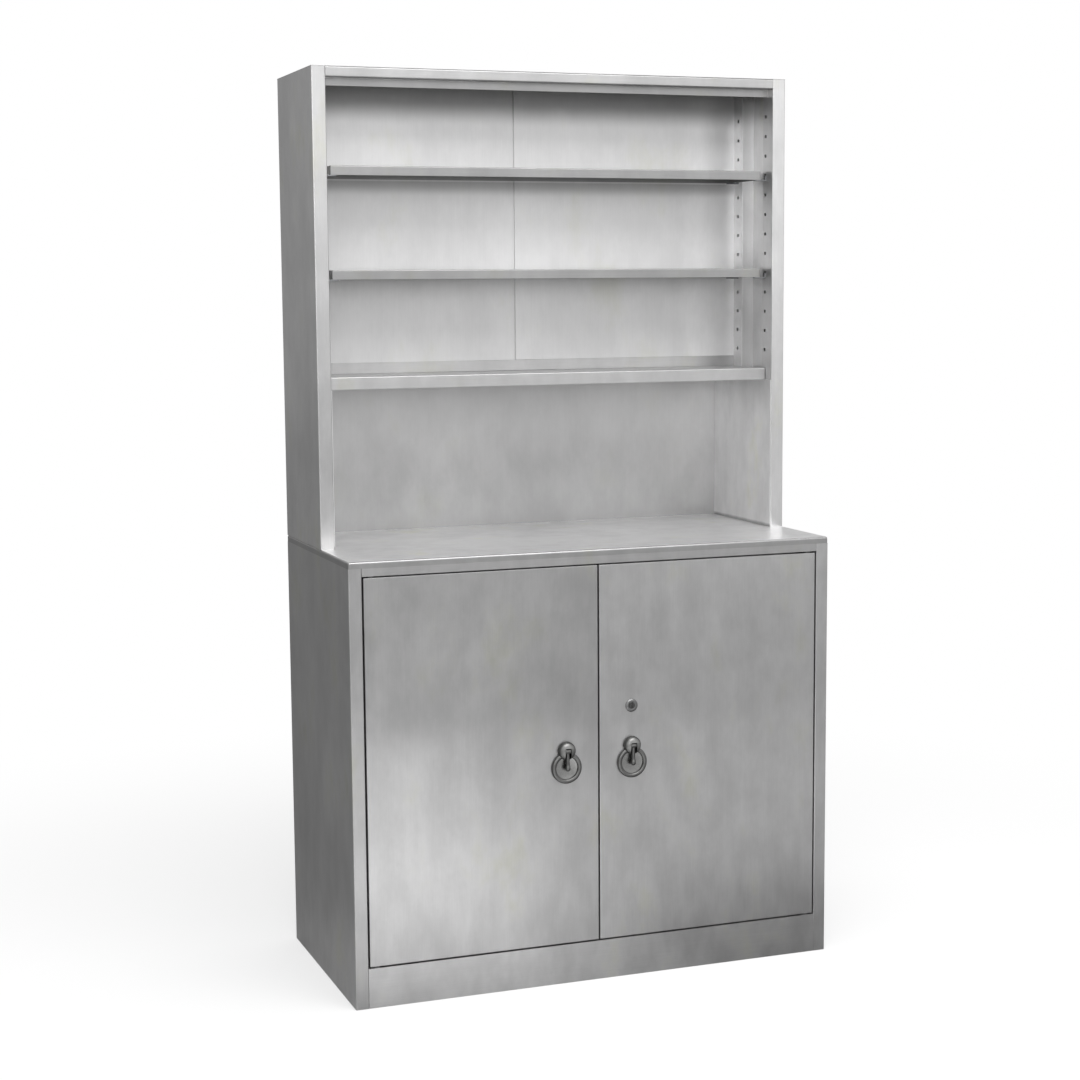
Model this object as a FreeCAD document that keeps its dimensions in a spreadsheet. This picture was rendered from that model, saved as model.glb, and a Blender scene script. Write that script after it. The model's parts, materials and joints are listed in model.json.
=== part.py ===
import FreeCAD, Part
import os
import Sketcher

# Stainless steel medical cabinet: a two-door base with a worktop, and an open shelf hutch on it.
# X runs to the right as seen from the front, Y from front to back and Z up, in millimetres.
# The origin is the middle of the overall box at floor level.

Vector = FreeCAD.Vector
Rotation = FreeCAD.Rotation

DOC = FreeCAD.newDocument("medical_cabinet")

# Driving sizes, one spreadsheet cell each.
SIZES = {
    # overall
    "cabinet_width": 1000.0,
    "base_depth": 480.0,
    "base_height": 860.0,
    "hutch_depth": 278.0,
    "hutch_height": 925.0,
    # sheet metal and clearances
    "carcass_sheet": 1.2,
    "corner_radius": 2.0,
    "rear_flange": 18.0,
    "cut_overrun": 2.0,
    "seat_gap": 0.3,
    "hole_gap": 0.25,
    "running_gap": 0.05,
    # base frame
    "base_stile": 26.0,
    "base_return": 62.0,
    "plinth_height": 78.0,
    "plinth_top_return": 45.0,
    "plinth_foot_return": 25.0,
    "floor_flange": 20.0,
    "head_face": 15.0,
    "head_return": 24.0,
    "head_lip": 12.0,
    "lip_notch": 34.0,
    "head_top_flange": 20.0,
    "rear_rail": 30.0,
    # worktop
    "worktop_edge": 13.0,
    "worktop_radius": 4.0,
    # hutch
    "hutch_stile": 28.0,
    "hutch_return": 45.0,
    "roof_rail_face": 20.0,
    "roof_rail_return": 24.0,
    "roof_rail_lip": 15.0,
    "niche_height": 333.0,
    "upper_back_setback": 182.0,
    "upper_back_flange": 15.0,
    "batten_width": 36.0,
    "batten_depth": 3.0,
    "batten_shift": 12.0,
    "shelf_upstand": 22.0,
    "foot_flange": 20.0,
    # shelves and their slotted supports
    "shelf_sheet": 1.0,
    "shelf_setback": 28.0,
    "shelf_end_gap": 13.0,
    "shelf_lip": 18.0,
    "shelf_rear_gap": 3.0,
    "fixed_shelf_lip": 24.0,
    "inner_shelf_setback": 46.0,
    "post_depth": 40.0,
    "slot_pitch": 40.0,
    "slot_width": 8.0,
    "slot_height": 6.0,
    "hutch_first_slot": 35.0,
    "base_first_slot": 100.0,
    "slot_top_margin": 30.0,
    "clip_sheet": 2.5,
    "clip_reach": 26.0,
    "clip_hook": 8.0,
    "clip_drop": 6.0,
    # doors
    "door_thickness": 20.0,
    "door_sheet": 1.0,
    "door_side_gap": 3.0,
    "door_centre_gap": 3.0,
    "door_end_gap": 3.0,
    "door_edge_radius": 1.5,
    "stiffener_width": 60.0,
    "stiffener_end_gap": 30.0,
    # door pivots
    "pivot_inset": 15.0,
    "pivot_setback": 8.0,
    "pivot_radius": 4.0,
    "pivot_engagement": 12.0,
    "pivot_block_length": 26.0,
    "pivot_block_height": 14.0,
    "bush_collar_radius": 7.0,
    "bush_wall": 1.5,
    "bush_spigot": 8.0,
    # catches and bumpers
    "catch_offset": 120.0,
    "catch_width": 40.0,
    "catch_height": 28.0,
    "catch_depth": 20.0,
    "strike_sheet": 1.5,
    "bumper_radius": 5.0,
    "bumper_inset": 40.0,
    # slide bolts of the left door
    "slide_offset": 30.0,
    "slide_radius": 3.5,
    "slide_travel": 15.0,
    "slide_lip_gap": 0.6,
    "slide_end_gap": 2.0,
    "knob_gap": 2.0,
    "guide_width": 14.0,
    "guide_height": 10.0,
    "guide_wall": 3.0,
    "knob_radius": 4.0,
    "knob_reach": 12.0,
    # door pulls
    "pull_offset": 69.0,
    "pull_height": 434.0,
    "dish_radius": 31.0,
    "dish_rim_radius": 3.0,
    "dish_sheet": 2.5,
    "boss_rise": 34.0,
    "boss_radius": 18.0,
    "boss_reach": 15.0,
    "boss_bevel": 3.0,
    "drop_pivot_reach": 9.0,
    "drop_eye_radius": 5.0,
    "drop_eye_length": 12.0,
    "drop_slot_gap": 0.3,
    "drop_eye_gap": 1.0,
    "drop_length": 34.0,
    "drop_neck_radius": 4.2,
    "drop_waist_radius": 3.0,
    "drop_tip_radius": 5.5,
    "pull_pin_radius": 1.5,
    "pull_pin_length": 24.0,
    # lock of the right door
    "lock_height": 547.0,
    "lock_collar_radius": 13.0,
    "lock_collar_reach": 3.0,
    "lock_barrel_radius": 9.0,
    "lock_barrel_tail": 3.8,
    "lock_plug_radius": 6.0,
    "lock_plug_proud": 0.6,
    "keyway_width": 1.8,
    "keyway_height": 8.0,
    "keyway_depth": 6.0,
    "lock_nut_radius": 14.5,
    "lock_cam_length": 92.0,
    "lock_cam_width": 14.0,
    "lock_cam_sheet": 2.5,
    "lock_tail_square": 6.0,
    "lock_screw_radius": 5.0,
    "lock_screw_head": 2.5,
    # bolts that join the hutch to the base
    "joint_bolt_radius": 3.0,
    "joint_bolt_head": 4.0,
    "joint_bolt_head_radius": 5.5,
    "joint_nut": 5.0,
    "joint_bolt_end": 1.0,
    "joint_bolt_inset": 60.0,
}

# How many slots of a post lie below the one that carries each loose shelf.
INNER_SHELF_SLOT_COUNT = 6
MIDDLE_SHELF_SLOT_COUNT = 4
UPPER_SHELF_SLOT_COUNT = 9

LEFT = -1
RIGHT = 1
SIDE_NAMES = {LEFT: "left", RIGHT: "right"}


class Size:
    """A length together with the cell formula that gives it."""

    def __init__(self, value, formula):
        self.value = value
        self.formula = formula

    def __add__(self, other):
        other = as_size(other)
        return Size(self.value + other.value, "(%s + %s)" % (self.formula, other.formula))

    def __sub__(self, other):
        other = as_size(other)
        return Size(self.value - other.value, "(%s - %s)" % (self.formula, other.formula))

    def __mul__(self, factor):
        return Size(self.value * factor, "(%s * %r)" % (self.formula, factor))

    def __truediv__(self, factor):
        return Size(self.value / factor, "(%s / %r)" % (self.formula, factor))

    def __neg__(self):
        return Size(-self.value, "(0 - %s)" % self.formula)


def as_size(number):
    """Give a plain number the form of a size."""
    if isinstance(number, Size):
        return number
    return Size(float(number), repr(float(number)))


def fill_sheet():
    """Write every driving size into the spreadsheet and give its cell an alias."""
    sheet = DOC.addObject("Spreadsheet::Sheet", "Sizes")
    for row, (alias, value) in enumerate(SIZES.items(), start=1):
        sheet.set("A%d" % row, alias)
        sheet.set("B%d" % row, str(value))
        sheet.setAlias("B%d" % row, alias)
    DOC.recompute()


class Named:
    """The driving sizes by name, each as a size tied to its cell."""

    def __getattr__(self, alias):
        return Size(SIZES[alias], "Sizes." + alias)


S = Named()

# Places and sizes that several pieces share.
FRONT = (S.boss_reach - S.base_depth) / 2
BACK = FRONT + S.base_depth
HALF = S.cabinet_width / 2
INNER_HALF = HALF - S.carcass_sheet
PANEL_BACK = BACK - S.carcass_sheet
PANEL_FRONT = PANEL_BACK - S.carcass_sheet
OPENING_HALF = HALF - S.base_stile
JAMB_BACK = FRONT + S.base_return
FLOOR_TOP = S.plinth_height + S.carcass_sheet
CARCASS_TOP = S.base_height - S.worktop_edge
OPENING_TOP = CARCASS_TOP - S.head_face
LIP_FRONT = FRONT + S.head_return
LIP_REAR = LIP_FRONT + S.carcass_sheet
LIP_BOTTOM = OPENING_TOP - S.head_lip

HUTCH_FRONT = BACK - S.hutch_depth
HUTCH_HALF = HALF - S.hutch_stile
HUTCH_RETURN_BACK = HUTCH_FRONT + S.hutch_return
TOTAL_HEIGHT = S.base_height + S.hutch_height
ROOF_BOTTOM = TOTAL_HEIGHT - S.carcass_sheet
ROOF_RAIL_BOTTOM = TOTAL_HEIGHT - S.roof_rail_face
DECK_TOP = S.base_height + S.niche_height
DECK_BOTTOM = DECK_TOP - S.fixed_shelf_lip
UPPER_BACK = HUTCH_FRONT + S.upper_back_setback

DOOR_BOTTOM = S.plinth_height + S.door_end_gap
DOOR_TOP = OPENING_TOP - S.door_end_gap
DOOR_OUTER = OPENING_HALF - S.door_side_gap
DOOR_INNER = S.door_centre_gap / 2
DOOR_REAR = FRONT + S.door_thickness
SKIN_INSIDE = FRONT + S.door_sheet
LINER_FRONT = DOOR_REAR - S.door_sheet
PIVOT_X = DOOR_OUTER - S.pivot_inset
PIVOT_Y = FRONT + S.pivot_setback
BUSH_SPIGOT_RADIUS = S.pivot_radius + S.bush_wall
CATCH_BOTTOM = OPENING_TOP - S.catch_height
SLIDE_Y = LIP_REAR + S.slide_lip_gap + S.slide_radius
SLIDE_HOLE_RADIUS = S.slide_radius + S.hole_gap
TOP_BOLT_END = LIP_BOTTOM - S.slide_end_gap
BOTTOM_BOLT_END = DOOR_BOTTOM + S.slide_end_gap
GUIDE_SPAN = S.guide_height * 2 + S.knob_radius * 2 + S.knob_gap * 2 + S.slide_travel

BOSS_HEIGHT = S.pull_height + S.boss_rise
DROP_PIVOT_Y = FRONT - S.drop_pivot_reach
DISH_FACE = FRONT - S.dish_sheet
BARREL_END = DOOR_REAR + S.lock_barrel_tail
CAM_REAR = BARREL_END + S.lock_cam_sheet

HUTCH_SLOT_YS = (HUTCH_FRONT + S.shelf_setback + S.slot_width / 2, UPPER_BACK - S.post_depth / 2)
BASE_SLOT_YS = (FRONT + S.inner_shelf_setback + S.slot_width / 2, PANEL_FRONT - S.post_depth / 2)
HUTCH_FIRST_SLOT = DECK_TOP + S.hutch_first_slot
BASE_FIRST_SLOT = FLOOR_TOP + S.base_first_slot
JOINT_BOLT_X = (HUTCH_HALF + INNER_HALF) / 2


# Expressions and primitives.

def bind(item, prop, size):
    """Tie one property to the formula of a size."""
    item.setExpression(prop, as_size(size).formula)


def place(item, x, y, z):
    """Tie the three coordinates of an object's placement."""
    for axis, size in zip("xyz", (x, y, z)):
        bind(item, "Placement.Base." + axis, size)


def box(name, low, high):
    """A block between two opposite corners."""
    block = DOC.addObject("Part::Box", name)
    for prop, start, end in zip(("Length", "Width", "Height"), low, high):
        bind(block, prop, as_size(end) - start)
    place(block, *low)
    return block


TURNS = {
    "x": Rotation(Vector(0, 1, 0), 90),
    "y": Rotation(Vector(1, 0, 0), -90),
    "z": Rotation(),
}


def turned(kind, name, axis, start, sizes):
    """A primitive that stands at start and points along an axis, with its sizes tied."""
    item = DOC.addObject(kind, name)
    item.Placement = FreeCAD.Placement(Vector(), TURNS[axis])
    for prop, size in sizes.items():
        bind(item, prop, size)
    place(item, *start)
    return item


def rod(name, axis, start, radius, length):
    """A cylinder that runs from start along an axis."""
    return turned("Part::Cylinder", name, axis, start, {"Radius": radius, "Height": length})


def cone(name, axis, start, radius, end_radius, length):
    """A cone that runs from start along an axis."""
    sizes = {"Radius1": radius, "Radius2": end_radius, "Height": length}
    return turned("Part::Cone", name, axis, start, sizes)


def hexagon(name, axis, start, radius, length):
    """A six-sided bar, as of a nut or bolt head, that runs from start along an axis."""
    return turned("Part::Prism", name, axis, start, {"Circumradius": radius, "Height": length})


def join(name, *pieces):
    """One solid of several that overlap or touch."""
    union = DOC.addObject("Part::MultiFuse", name)
    union.Shapes = list(pieces)
    union.Refine = True
    return union


def group(name, pieces):
    """Separate solids kept in one object."""
    cluster = DOC.addObject("Part::Compound", name)
    cluster.Links = list(pieces)
    return cluster


def cut(name, base, *tools):
    """A solid less one or more tools."""
    rest = DOC.addObject("Part::Cut", name)
    rest.Base = base
    rest.Tool = tools[0] if len(tools) == 1 else group(name + "_tools", tools)
    rest.Refine = True
    return rest


def across(side, near, far):
    """The two ends in X, lower first, of a stretch on one side of the middle."""
    return (near, far) if side == RIGHT else (-as_size(far), -as_size(near))


# Bodies with sketches.

MATCH_TOLERANCE = 1e-4
PLANES = {"x": "YZ_Plane", "y": "XZ_Plane", "z": "XY_Plane"}


def outline(owner, axis, at, corners):
    """A closed outline square to an axis, each corner tied by two distances to the origin."""
    drawing = owner.newObject("Sketcher::SketchObject", owner.Name + "_outline")
    plane = [item for item in owner.Origin.OriginFeatures if item.Role == PLANES[axis]][0]
    drawing.AttachmentSupport = [(plane, "")]
    drawing.MapMode = "FlatFace"
    bind(drawing, "AttachmentOffset.Base.z", -as_size(at) if axis == "y" else at)
    sizes = [(as_size(u), as_size(v)) for u, v in corners]
    spots = [Vector(u.value, v.value, 0) for u, v in sizes]
    for spot, following in zip(spots, spots[1:] + spots[:1]):
        drawing.addGeometry(Part.LineSegment(spot, following))
    for here, (u, v) in enumerate(sizes):
        after = (here + 1) % len(sizes)
        drawing.addConstraint(Sketcher.Constraint("Coincident", here, 2, after, 1))
        for kind, size in (("DistanceX", u), ("DistanceY", v)):
            tie = drawing.addConstraint(Sketcher.Constraint(kind, -1, 1, here, 1, size.value))
            bind(drawing, "Constraints[%d]" % tie, size)
    return drawing


def pad(owner, axis, start, end, corners):
    """Raise an outline along an axis between two places."""
    feature = owner.newObject("PartDesign::Pad", owner.Name + "_pad")
    feature.Profile = outline(owner, axis, start, corners)
    feature.Reversed = axis == "y"
    bind(feature, "Length", as_size(end) - start)
    return feature


def pocket(owner, axis, start, end, corners):
    """Cut an outline along an axis between two places."""
    feature = owner.newObject("PartDesign::Pocket", owner.Name + "_pocket")
    feature.Profile = outline(owner, axis, start, corners)
    feature.Reversed = axis != "y"
    bind(feature, "Length", as_size(end) - start)
    return feature


def rectangle(low_u, high_u, low_v, high_v):
    """The four corners of a rectangle."""
    return [(low_u, low_v), (high_u, low_v), (high_u, high_v), (low_u, high_v)]


def folded(side, path, sheet):
    """The outline of a sheet folded square along a path, its thickness to the path's right.

    On the left of the cabinet the path is mirrored, and the thickness with it.
    """
    legs = []
    for (u, v), (next_u, next_v) in zip(path, path[1:]):
        step_u = as_size(next_u).value - as_size(u).value
        step_v = as_size(next_v).value - as_size(v).value
        legs.append(((step_u > 0) - (step_u < 0), (step_v > 0) - (step_v < 0)))
    inner = []
    for index, (u, v) in enumerate(path):
        beside_corner = legs[max(index - 1, 0):index + 1]
        shift_u = sum(leg[1] for leg in beside_corner)
        shift_v = -sum(leg[0] for leg in beside_corner)
        inner.append((as_size(u) + sheet * shift_u, as_size(v) + sheet * shift_v))
    return [(as_size(u) * side, v) for u, v in list(path) + inner[::-1]]


def edges_along(shape, axis, u, v):
    """Names of the straight edges along an axis that lie at u and v on the other two axes."""
    others = [index for index in range(3) if "xyz"[index] != axis]
    goal = (as_size(u).value, as_size(v).value)
    names = []
    for number, edge in enumerate(shape.Edges, start=1):
        spots = [vertex.Point for vertex in edge.Vertexes]
        gaps = [abs(spot[other] - target) for spot in spots for other, target in zip(others, goal)]
        if len(spots) == 2 and max(gaps) < MATCH_TOLERANCE:
            names.append("Edge%d" % number)
    return names


def rounded(owner, radius, edges):
    """Round straight edges of a body, each given as its axis and its place on the other two."""
    DOC.recompute()
    tip = owner.Tip
    names = [name for axis, u, v in edges for name in edges_along(tip.Shape, axis, u, v)]
    feature = owner.newObject("PartDesign::Fillet", owner.Name + "_fillet")
    feature.Base = (tip, names)
    bind(feature, "Radius", radius)
    return feature


def body(name):
    """An empty body."""
    return DOC.addObject("PartDesign::Body", name)


def plate(name, low, high):
    """A flat sheet as a body, between two opposite corners."""
    owner = body(name)
    pad(owner, "z", low[2], high[2], rectangle(low[0], high[0], low[1], high[1]))
    return owner


def tray(name, low, high, sheet):
    """A sheet with its four edges turned down, as a body between two opposite corners."""
    owner = body(name)
    pad(owner, "z", low[2], high[2], rectangle(low[0], high[0], low[1], high[1]))
    inside = rectangle(low[0] + sheet, high[0] - sheet, low[1] + sheet, high[1] - sheet)
    pocket(owner, "z", low[2], high[2] - sheet, inside)
    return owner


def upright(name, side, path, bottom, top):
    """A folded carcass sheet that stands between two heights, its path in X and Y."""
    owner = body(name)
    pad(owner, "z", bottom, top, folded(side, path, S.carcass_sheet))
    return owner


def rail(name, path, half_length):
    """A folded carcass sheet that runs across the cabinet, its path in Y and Z."""
    owner = body(name)
    pad(owner, "x", -half_length, half_length, folded(RIGHT, path, S.carcass_sheet))
    return owner


def slotted(owner, side, face, slot_y, first, top):
    """Cut a column of slots through a sheet that faces the middle, at a steady pitch."""
    low, high = across(side, face - S.cut_overrun, face + S.carcass_sheet + S.cut_overrun)
    half_width = S.slot_width / 2
    corners = rectangle(slot_y - half_width, slot_y + half_width, first, first + S.slot_height)
    slot = pocket(owner, "x", low, high, corners)
    count = int((top - first - S.slot_top_margin).value / S.slot_pitch.value) + 1
    column = owner.newObject("PartDesign::LinearPattern", owner.Name + "_slots")
    column.Originals = [slot]
    column.Direction = (slot.Profile[0], ["V_Axis"])
    column.Occurrences = count
    bind(column, "Length", S.slot_pitch * (count - 1))
    owner.Tip = column


# Base.

def base_side(side):
    """Side sheet, folded round the front into the stile and back along the door as a jamb."""
    path = [
        (HALF - S.rear_flange, BACK),
        (HALF, BACK),
        (HALF, FRONT),
        (OPENING_HALF, FRONT),
        (OPENING_HALF, JAMB_BACK),
    ]
    name = "base_%s_side" % SIDE_NAMES[side]
    owner = upright(name, side, path, as_size(0), CARCASS_TOP)
    slotted(owner, side, OPENING_HALF, BASE_SLOT_YS[0], BASE_FIRST_SLOT, LIP_BOTTOM)
    rounded(owner, S.corner_radius, [("z", HALF * side, FRONT)])
    return owner


def base_back():
    """Back sheet of the base, inside the rear flanges of the sides."""
    return plate("base_back_panel", (-INNER_HALF, PANEL_FRONT, as_size(0)),
                 (INNER_HALF, PANEL_BACK, CARCASS_TOP))


def pivot_holes(height):
    """Tools for the two bush holes through a rail's sheet that starts at a height."""
    start = height - S.cut_overrun
    length = S.carcass_sheet + S.cut_overrun * 2
    return [rod("bush_hole", "z", (PIVOT_X * side, PIVOT_Y, start), BUSH_SPIGOT_RADIUS, length)
            for side in SIDE_NAMES]


def slide_hole(height):
    """Tool for the hole that the bottom bolt drops into."""
    start = height - S.cut_overrun
    length = S.carcass_sheet + S.cut_overrun * 2
    return rod("slide_hole", "z", (-S.slide_offset, SLIDE_Y, start), SLIDE_HOLE_RADIUS, length)


def plinth():
    """Plinth, folded back at the floor and under the doors."""
    path = [
        (FRONT + S.plinth_foot_return, as_size(0)),
        (FRONT, as_size(0)),
        (FRONT, S.plinth_height),
        (FRONT + S.plinth_top_return, S.plinth_height),
    ]
    sheet = rail("plinth_sheet", path, OPENING_HALF)
    height = S.plinth_height - S.carcass_sheet
    return cut("plinth", sheet, slide_hole(height), *pivot_holes(height))


def base_floor():
    """Floor of the base, notched round the jambs, with its side and rear edges turned down."""
    low = S.plinth_height
    flange_low = low - S.floor_flange
    flange_start = PANEL_FRONT - S.carcass_sheet
    pieces = [
        box("floor_front", (-OPENING_HALF, LIP_FRONT, low), (OPENING_HALF, JAMB_BACK, FLOOR_TOP)),
        box("floor_rear", (-INNER_HALF, JAMB_BACK, low), (INNER_HALF, PANEL_FRONT, FLOOR_TOP)),
        box("floor_rear_flange", (-INNER_HALF, flange_start, flange_low),
            (INNER_HALF, PANEL_FRONT, low)),
    ]
    for side in SIDE_NAMES:
        start, end = across(side, INNER_HALF - S.carcass_sheet, INNER_HALF)
        pieces.append(box("floor_side_flange", (start, JAMB_BACK, flange_low),
                          (end, PANEL_FRONT, low)))
    return cut("base_floor", join("floor_sheet", *pieces), slide_hole(low))


def lip_notches():
    """Tools that stop the lip short of each jamb, where the doors' rear corners swing."""
    notches = []
    for side in SIDE_NAMES:
        start, end = across(side, OPENING_HALF - S.lip_notch, OPENING_HALF + S.cut_overrun)
        notches.append(box("lip_notch",
                           (start, LIP_FRONT - S.cut_overrun, LIP_BOTTOM - S.cut_overrun),
                           (end, LIP_REAR + S.cut_overrun, OPENING_TOP)))
    return notches


def head_rail():
    """Rail over the doors: top flange, face, soffit and the lip that the doors stop against."""
    path = [
        (FRONT + S.head_return, LIP_BOTTOM),
        (FRONT + S.head_return, OPENING_TOP),
        (FRONT, OPENING_TOP),
        (FRONT, CARCASS_TOP),
        (FRONT + S.head_top_flange, CARCASS_TOP),
    ]
    sheet = rail("head_rail_sheet", path, OPENING_HALF)
    return cut("base_head_rail", sheet, *lip_notches(), *pivot_holes(OPENING_TOP))


def rear_rail():
    """Angle along the top of the base's back, under the worktop."""
    path = [
        (PANEL_FRONT - S.rear_rail, CARCASS_TOP),
        (PANEL_FRONT, CARCASS_TOP),
        (PANEL_FRONT, CARCASS_TOP - S.rear_rail),
    ]
    return rail("base_rear_rail", path, INNER_HALF)


def rear_posts(name, face, back, bottom, top, first, slot_top):
    """The two slotted posts in the rear corners, in front of a back sheet."""
    posts = []
    path = [(INNER_HALF, back - S.post_depth), (face, back - S.post_depth), (face, back)]
    for side in SIDE_NAMES:
        post = upright("%s_%s" % (name, SIDE_NAMES[side]), side, path, bottom, top)
        slotted(post, side, face, back - S.post_depth / 2, first, slot_top)
        posts.append(post)
    return group(name, posts)


def shelf_top(first, slot):
    """Height of a loose shelf's top when its clips hang in a slot."""
    return first + S.slot_pitch * slot - S.clip_drop + S.shelf_lip


def loose_shelf(name, half_span, front, back, top):
    """A shelf that lies on four clips."""
    half = half_span - S.shelf_end_gap
    return tray(name, (-half, front, top - S.shelf_lip), (half, back - S.shelf_rear_gap, top),
                S.shelf_sheet)


def clip(side, face, slot_y, slot_bottom):
    """Shelf clip: tongue under the shelf, leg on the post, and a hook through the slot."""
    half_width = S.slot_width / 2 - S.hole_gap
    rear = slot_y + half_width
    hook_top = slot_bottom + S.clip_sheet
    tongue_top = slot_bottom - S.clip_drop
    stretches = [
        (face - S.clip_reach, face, tongue_top - S.clip_sheet, tongue_top),
        (face - S.clip_sheet, face, tongue_top - S.clip_sheet, hook_top),
        (face - S.clip_sheet, face + S.carcass_sheet + S.clip_sheet, slot_bottom, hook_top),
        (face + S.carcass_sheet, face + S.carcass_sheet + S.clip_sheet,
         slot_bottom - S.clip_hook, hook_top),
    ]
    legs = []
    for near, far, low, high in stretches:
        start, end = across(side, near, far)
        legs.append(box("clip_leg", (start, slot_y - half_width, low), (end, rear, high)))
    return join("clip", *legs)


def clips():
    """All twelve shelf clips."""
    shelves = [
        (OPENING_HALF, BASE_SLOT_YS, BASE_FIRST_SLOT, INNER_SHELF_SLOT_COUNT),
        (HUTCH_HALF, HUTCH_SLOT_YS, HUTCH_FIRST_SLOT, MIDDLE_SHELF_SLOT_COUNT),
        (HUTCH_HALF, HUTCH_SLOT_YS, HUTCH_FIRST_SLOT, UPPER_SHELF_SLOT_COUNT),
    ]
    return group("shelf_clips", [
        clip(side, face, slot_y, first + S.slot_pitch * slot)
        for face, slot_ys, first, slot in shelves
        for side in SIDE_NAMES
        for slot_y in slot_ys
    ])


def joint_bolt_places():
    """Where the four bolts that hold the hutch down stand."""
    ys = (HUTCH_RETURN_BACK + S.joint_bolt_inset / 2, BACK - S.joint_bolt_inset)
    return [(JOINT_BOLT_X * side, y) for side in SIDE_NAMES for y in ys]


def bolt_holes(bottom, top):
    """Tools for the bolt holes between two heights."""
    start = bottom - S.cut_overrun
    length = top - bottom + S.cut_overrun * 2
    radius = S.joint_bolt_radius + S.hole_gap
    return [rod("bolt_hole", "z", (x, y, start), radius, length) for x, y in joint_bolt_places()]


def worktop():
    """Worktop sheet with its four edges turned down and its front and side edges rounded."""
    owner = tray("worktop_sheet", (-HALF, FRONT, CARCASS_TOP), (HALF, BACK, S.base_height),
                 S.carcass_sheet)
    inside = S.carcass_sheet
    rounded(owner, S.worktop_radius - inside, [
        ("x", FRONT + inside, S.base_height - inside),
        ("y", INNER_HALF, S.base_height - inside),
        ("y", -INNER_HALF, S.base_height - inside),
    ])
    rounded(owner, S.worktop_radius, [
        ("x", FRONT, S.base_height),
        ("y", HALF, S.base_height),
        ("y", -HALF, S.base_height),
    ])
    holes = bolt_holes(S.base_height - S.carcass_sheet, S.base_height)
    return cut("worktop", owner, *holes)


def worktop_core():
    """Board that fills the worktop."""
    half = HALF - S.worktop_radius
    top = S.base_height - S.carcass_sheet
    board = box("core_board", (-half, FRONT + S.worktop_radius, CARCASS_TOP),
                (half, BACK - S.worktop_radius, top))
    return cut("worktop_core", board, *bolt_holes(CARCASS_TOP, top))


# Doors.

def skin_edges(side):
    """The near and far ends in X of a door, lower first."""
    return across(side, DOOR_INNER, DOOR_OUTER)


def door_skin(side):
    """Outer door sheet with its four edges turned back."""
    low, high = skin_edges(side)
    name = "%s_door_skin" % SIDE_NAMES[side]
    owner = body(name + "_sheet")
    pad(owner, "y", FRONT, LINER_FRONT, rectangle(low, high, DOOR_BOTTOM, DOOR_TOP))
    sheet = S.door_sheet
    inside = rectangle(low + sheet, high - sheet, DOOR_BOTTOM + sheet, DOOR_TOP - sheet)
    pocket(owner, "y", SKIN_INSIDE, LINER_FRONT, inside)
    rounded(owner, S.door_edge_radius, [
        ("z", low, FRONT),
        ("z", high, FRONT),
        ("x", FRONT, DOOR_BOTTOM),
        ("x", FRONT, DOOR_TOP),
    ])
    length = sheet + S.cut_overrun * 2
    tools = [
        rod("pin_hole", "z", (PIVOT_X * side, PIVOT_Y, start - S.cut_overrun), S.pivot_radius, length)
        for start in (DOOR_BOTTOM, DOOR_TOP - sheet)
    ]
    if side == RIGHT:
        tools.append(lock_hole(FRONT))
    return cut(name, owner, *tools)


def lock_hole(start):
    """Tool for the lock barrel's hole through a door sheet."""
    length = S.door_sheet + S.cut_overrun * 2
    centre = (S.pull_offset, start - S.cut_overrun, S.lock_height)
    return rod("lock_hole", "y", centre, S.lock_barrel_radius, length)


def door_liner(side):
    """Flat sheet that closes the back of a door."""
    low, high = skin_edges(side)
    corners = (low, LINER_FRONT, DOOR_BOTTOM), (high, DOOR_REAR, DOOR_TOP)
    name = "%s_door_liner" % SIDE_NAMES[side]
    if side == LEFT:
        return plate(name, *corners)
    return cut(name, plate(name + "_sheet", *corners), lock_hole(LINER_FRONT))


def door_stiffener(side):
    """Channel between a door's two sheets, at the middle of its width."""
    centre = (DOOR_INNER + DOOR_OUTER) / 2
    near = centre - S.stiffener_width / 2
    far = centre + S.stiffener_width / 2
    path = [(far, LINER_FRONT), (far, SKIN_INSIDE), (near, SKIN_INSIDE), (near, LINER_FRONT)]
    owner = body("%s_door_stiffener" % SIDE_NAMES[side])
    pad(owner, "z", DOOR_BOTTOM + S.stiffener_end_gap, DOOR_TOP - S.stiffener_end_gap,
        folded(side, path, S.door_sheet))
    return owner


def door_pivots(side):
    """Blocks inside a door's lower and upper corners, each with its pivot pin."""
    outer = DOOR_OUTER - S.door_sheet
    start, end = across(side, outer - S.pivot_block_length, outer)
    low = DOOR_BOTTOM + S.door_sheet
    high = DOOR_TOP - S.door_sheet
    pin = S.pivot_engagement + S.door_sheet
    pivots = []
    for bottom, top, foot in (
            (low, low + S.pivot_block_height, DOOR_BOTTOM - S.pivot_engagement),
            (high - S.pivot_block_height, high, high)):
        block = box("pivot_block", (start, SKIN_INSIDE, bottom), (end, LINER_FRONT, top))
        shaft = rod("pivot_pin", "z", (PIVOT_X * side, PIVOT_Y, foot), S.pivot_radius, pin)
        pivots.append(join("pivot", block, shaft))
    return group("%s_door_pivots" % SIDE_NAMES[side], pivots)


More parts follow.
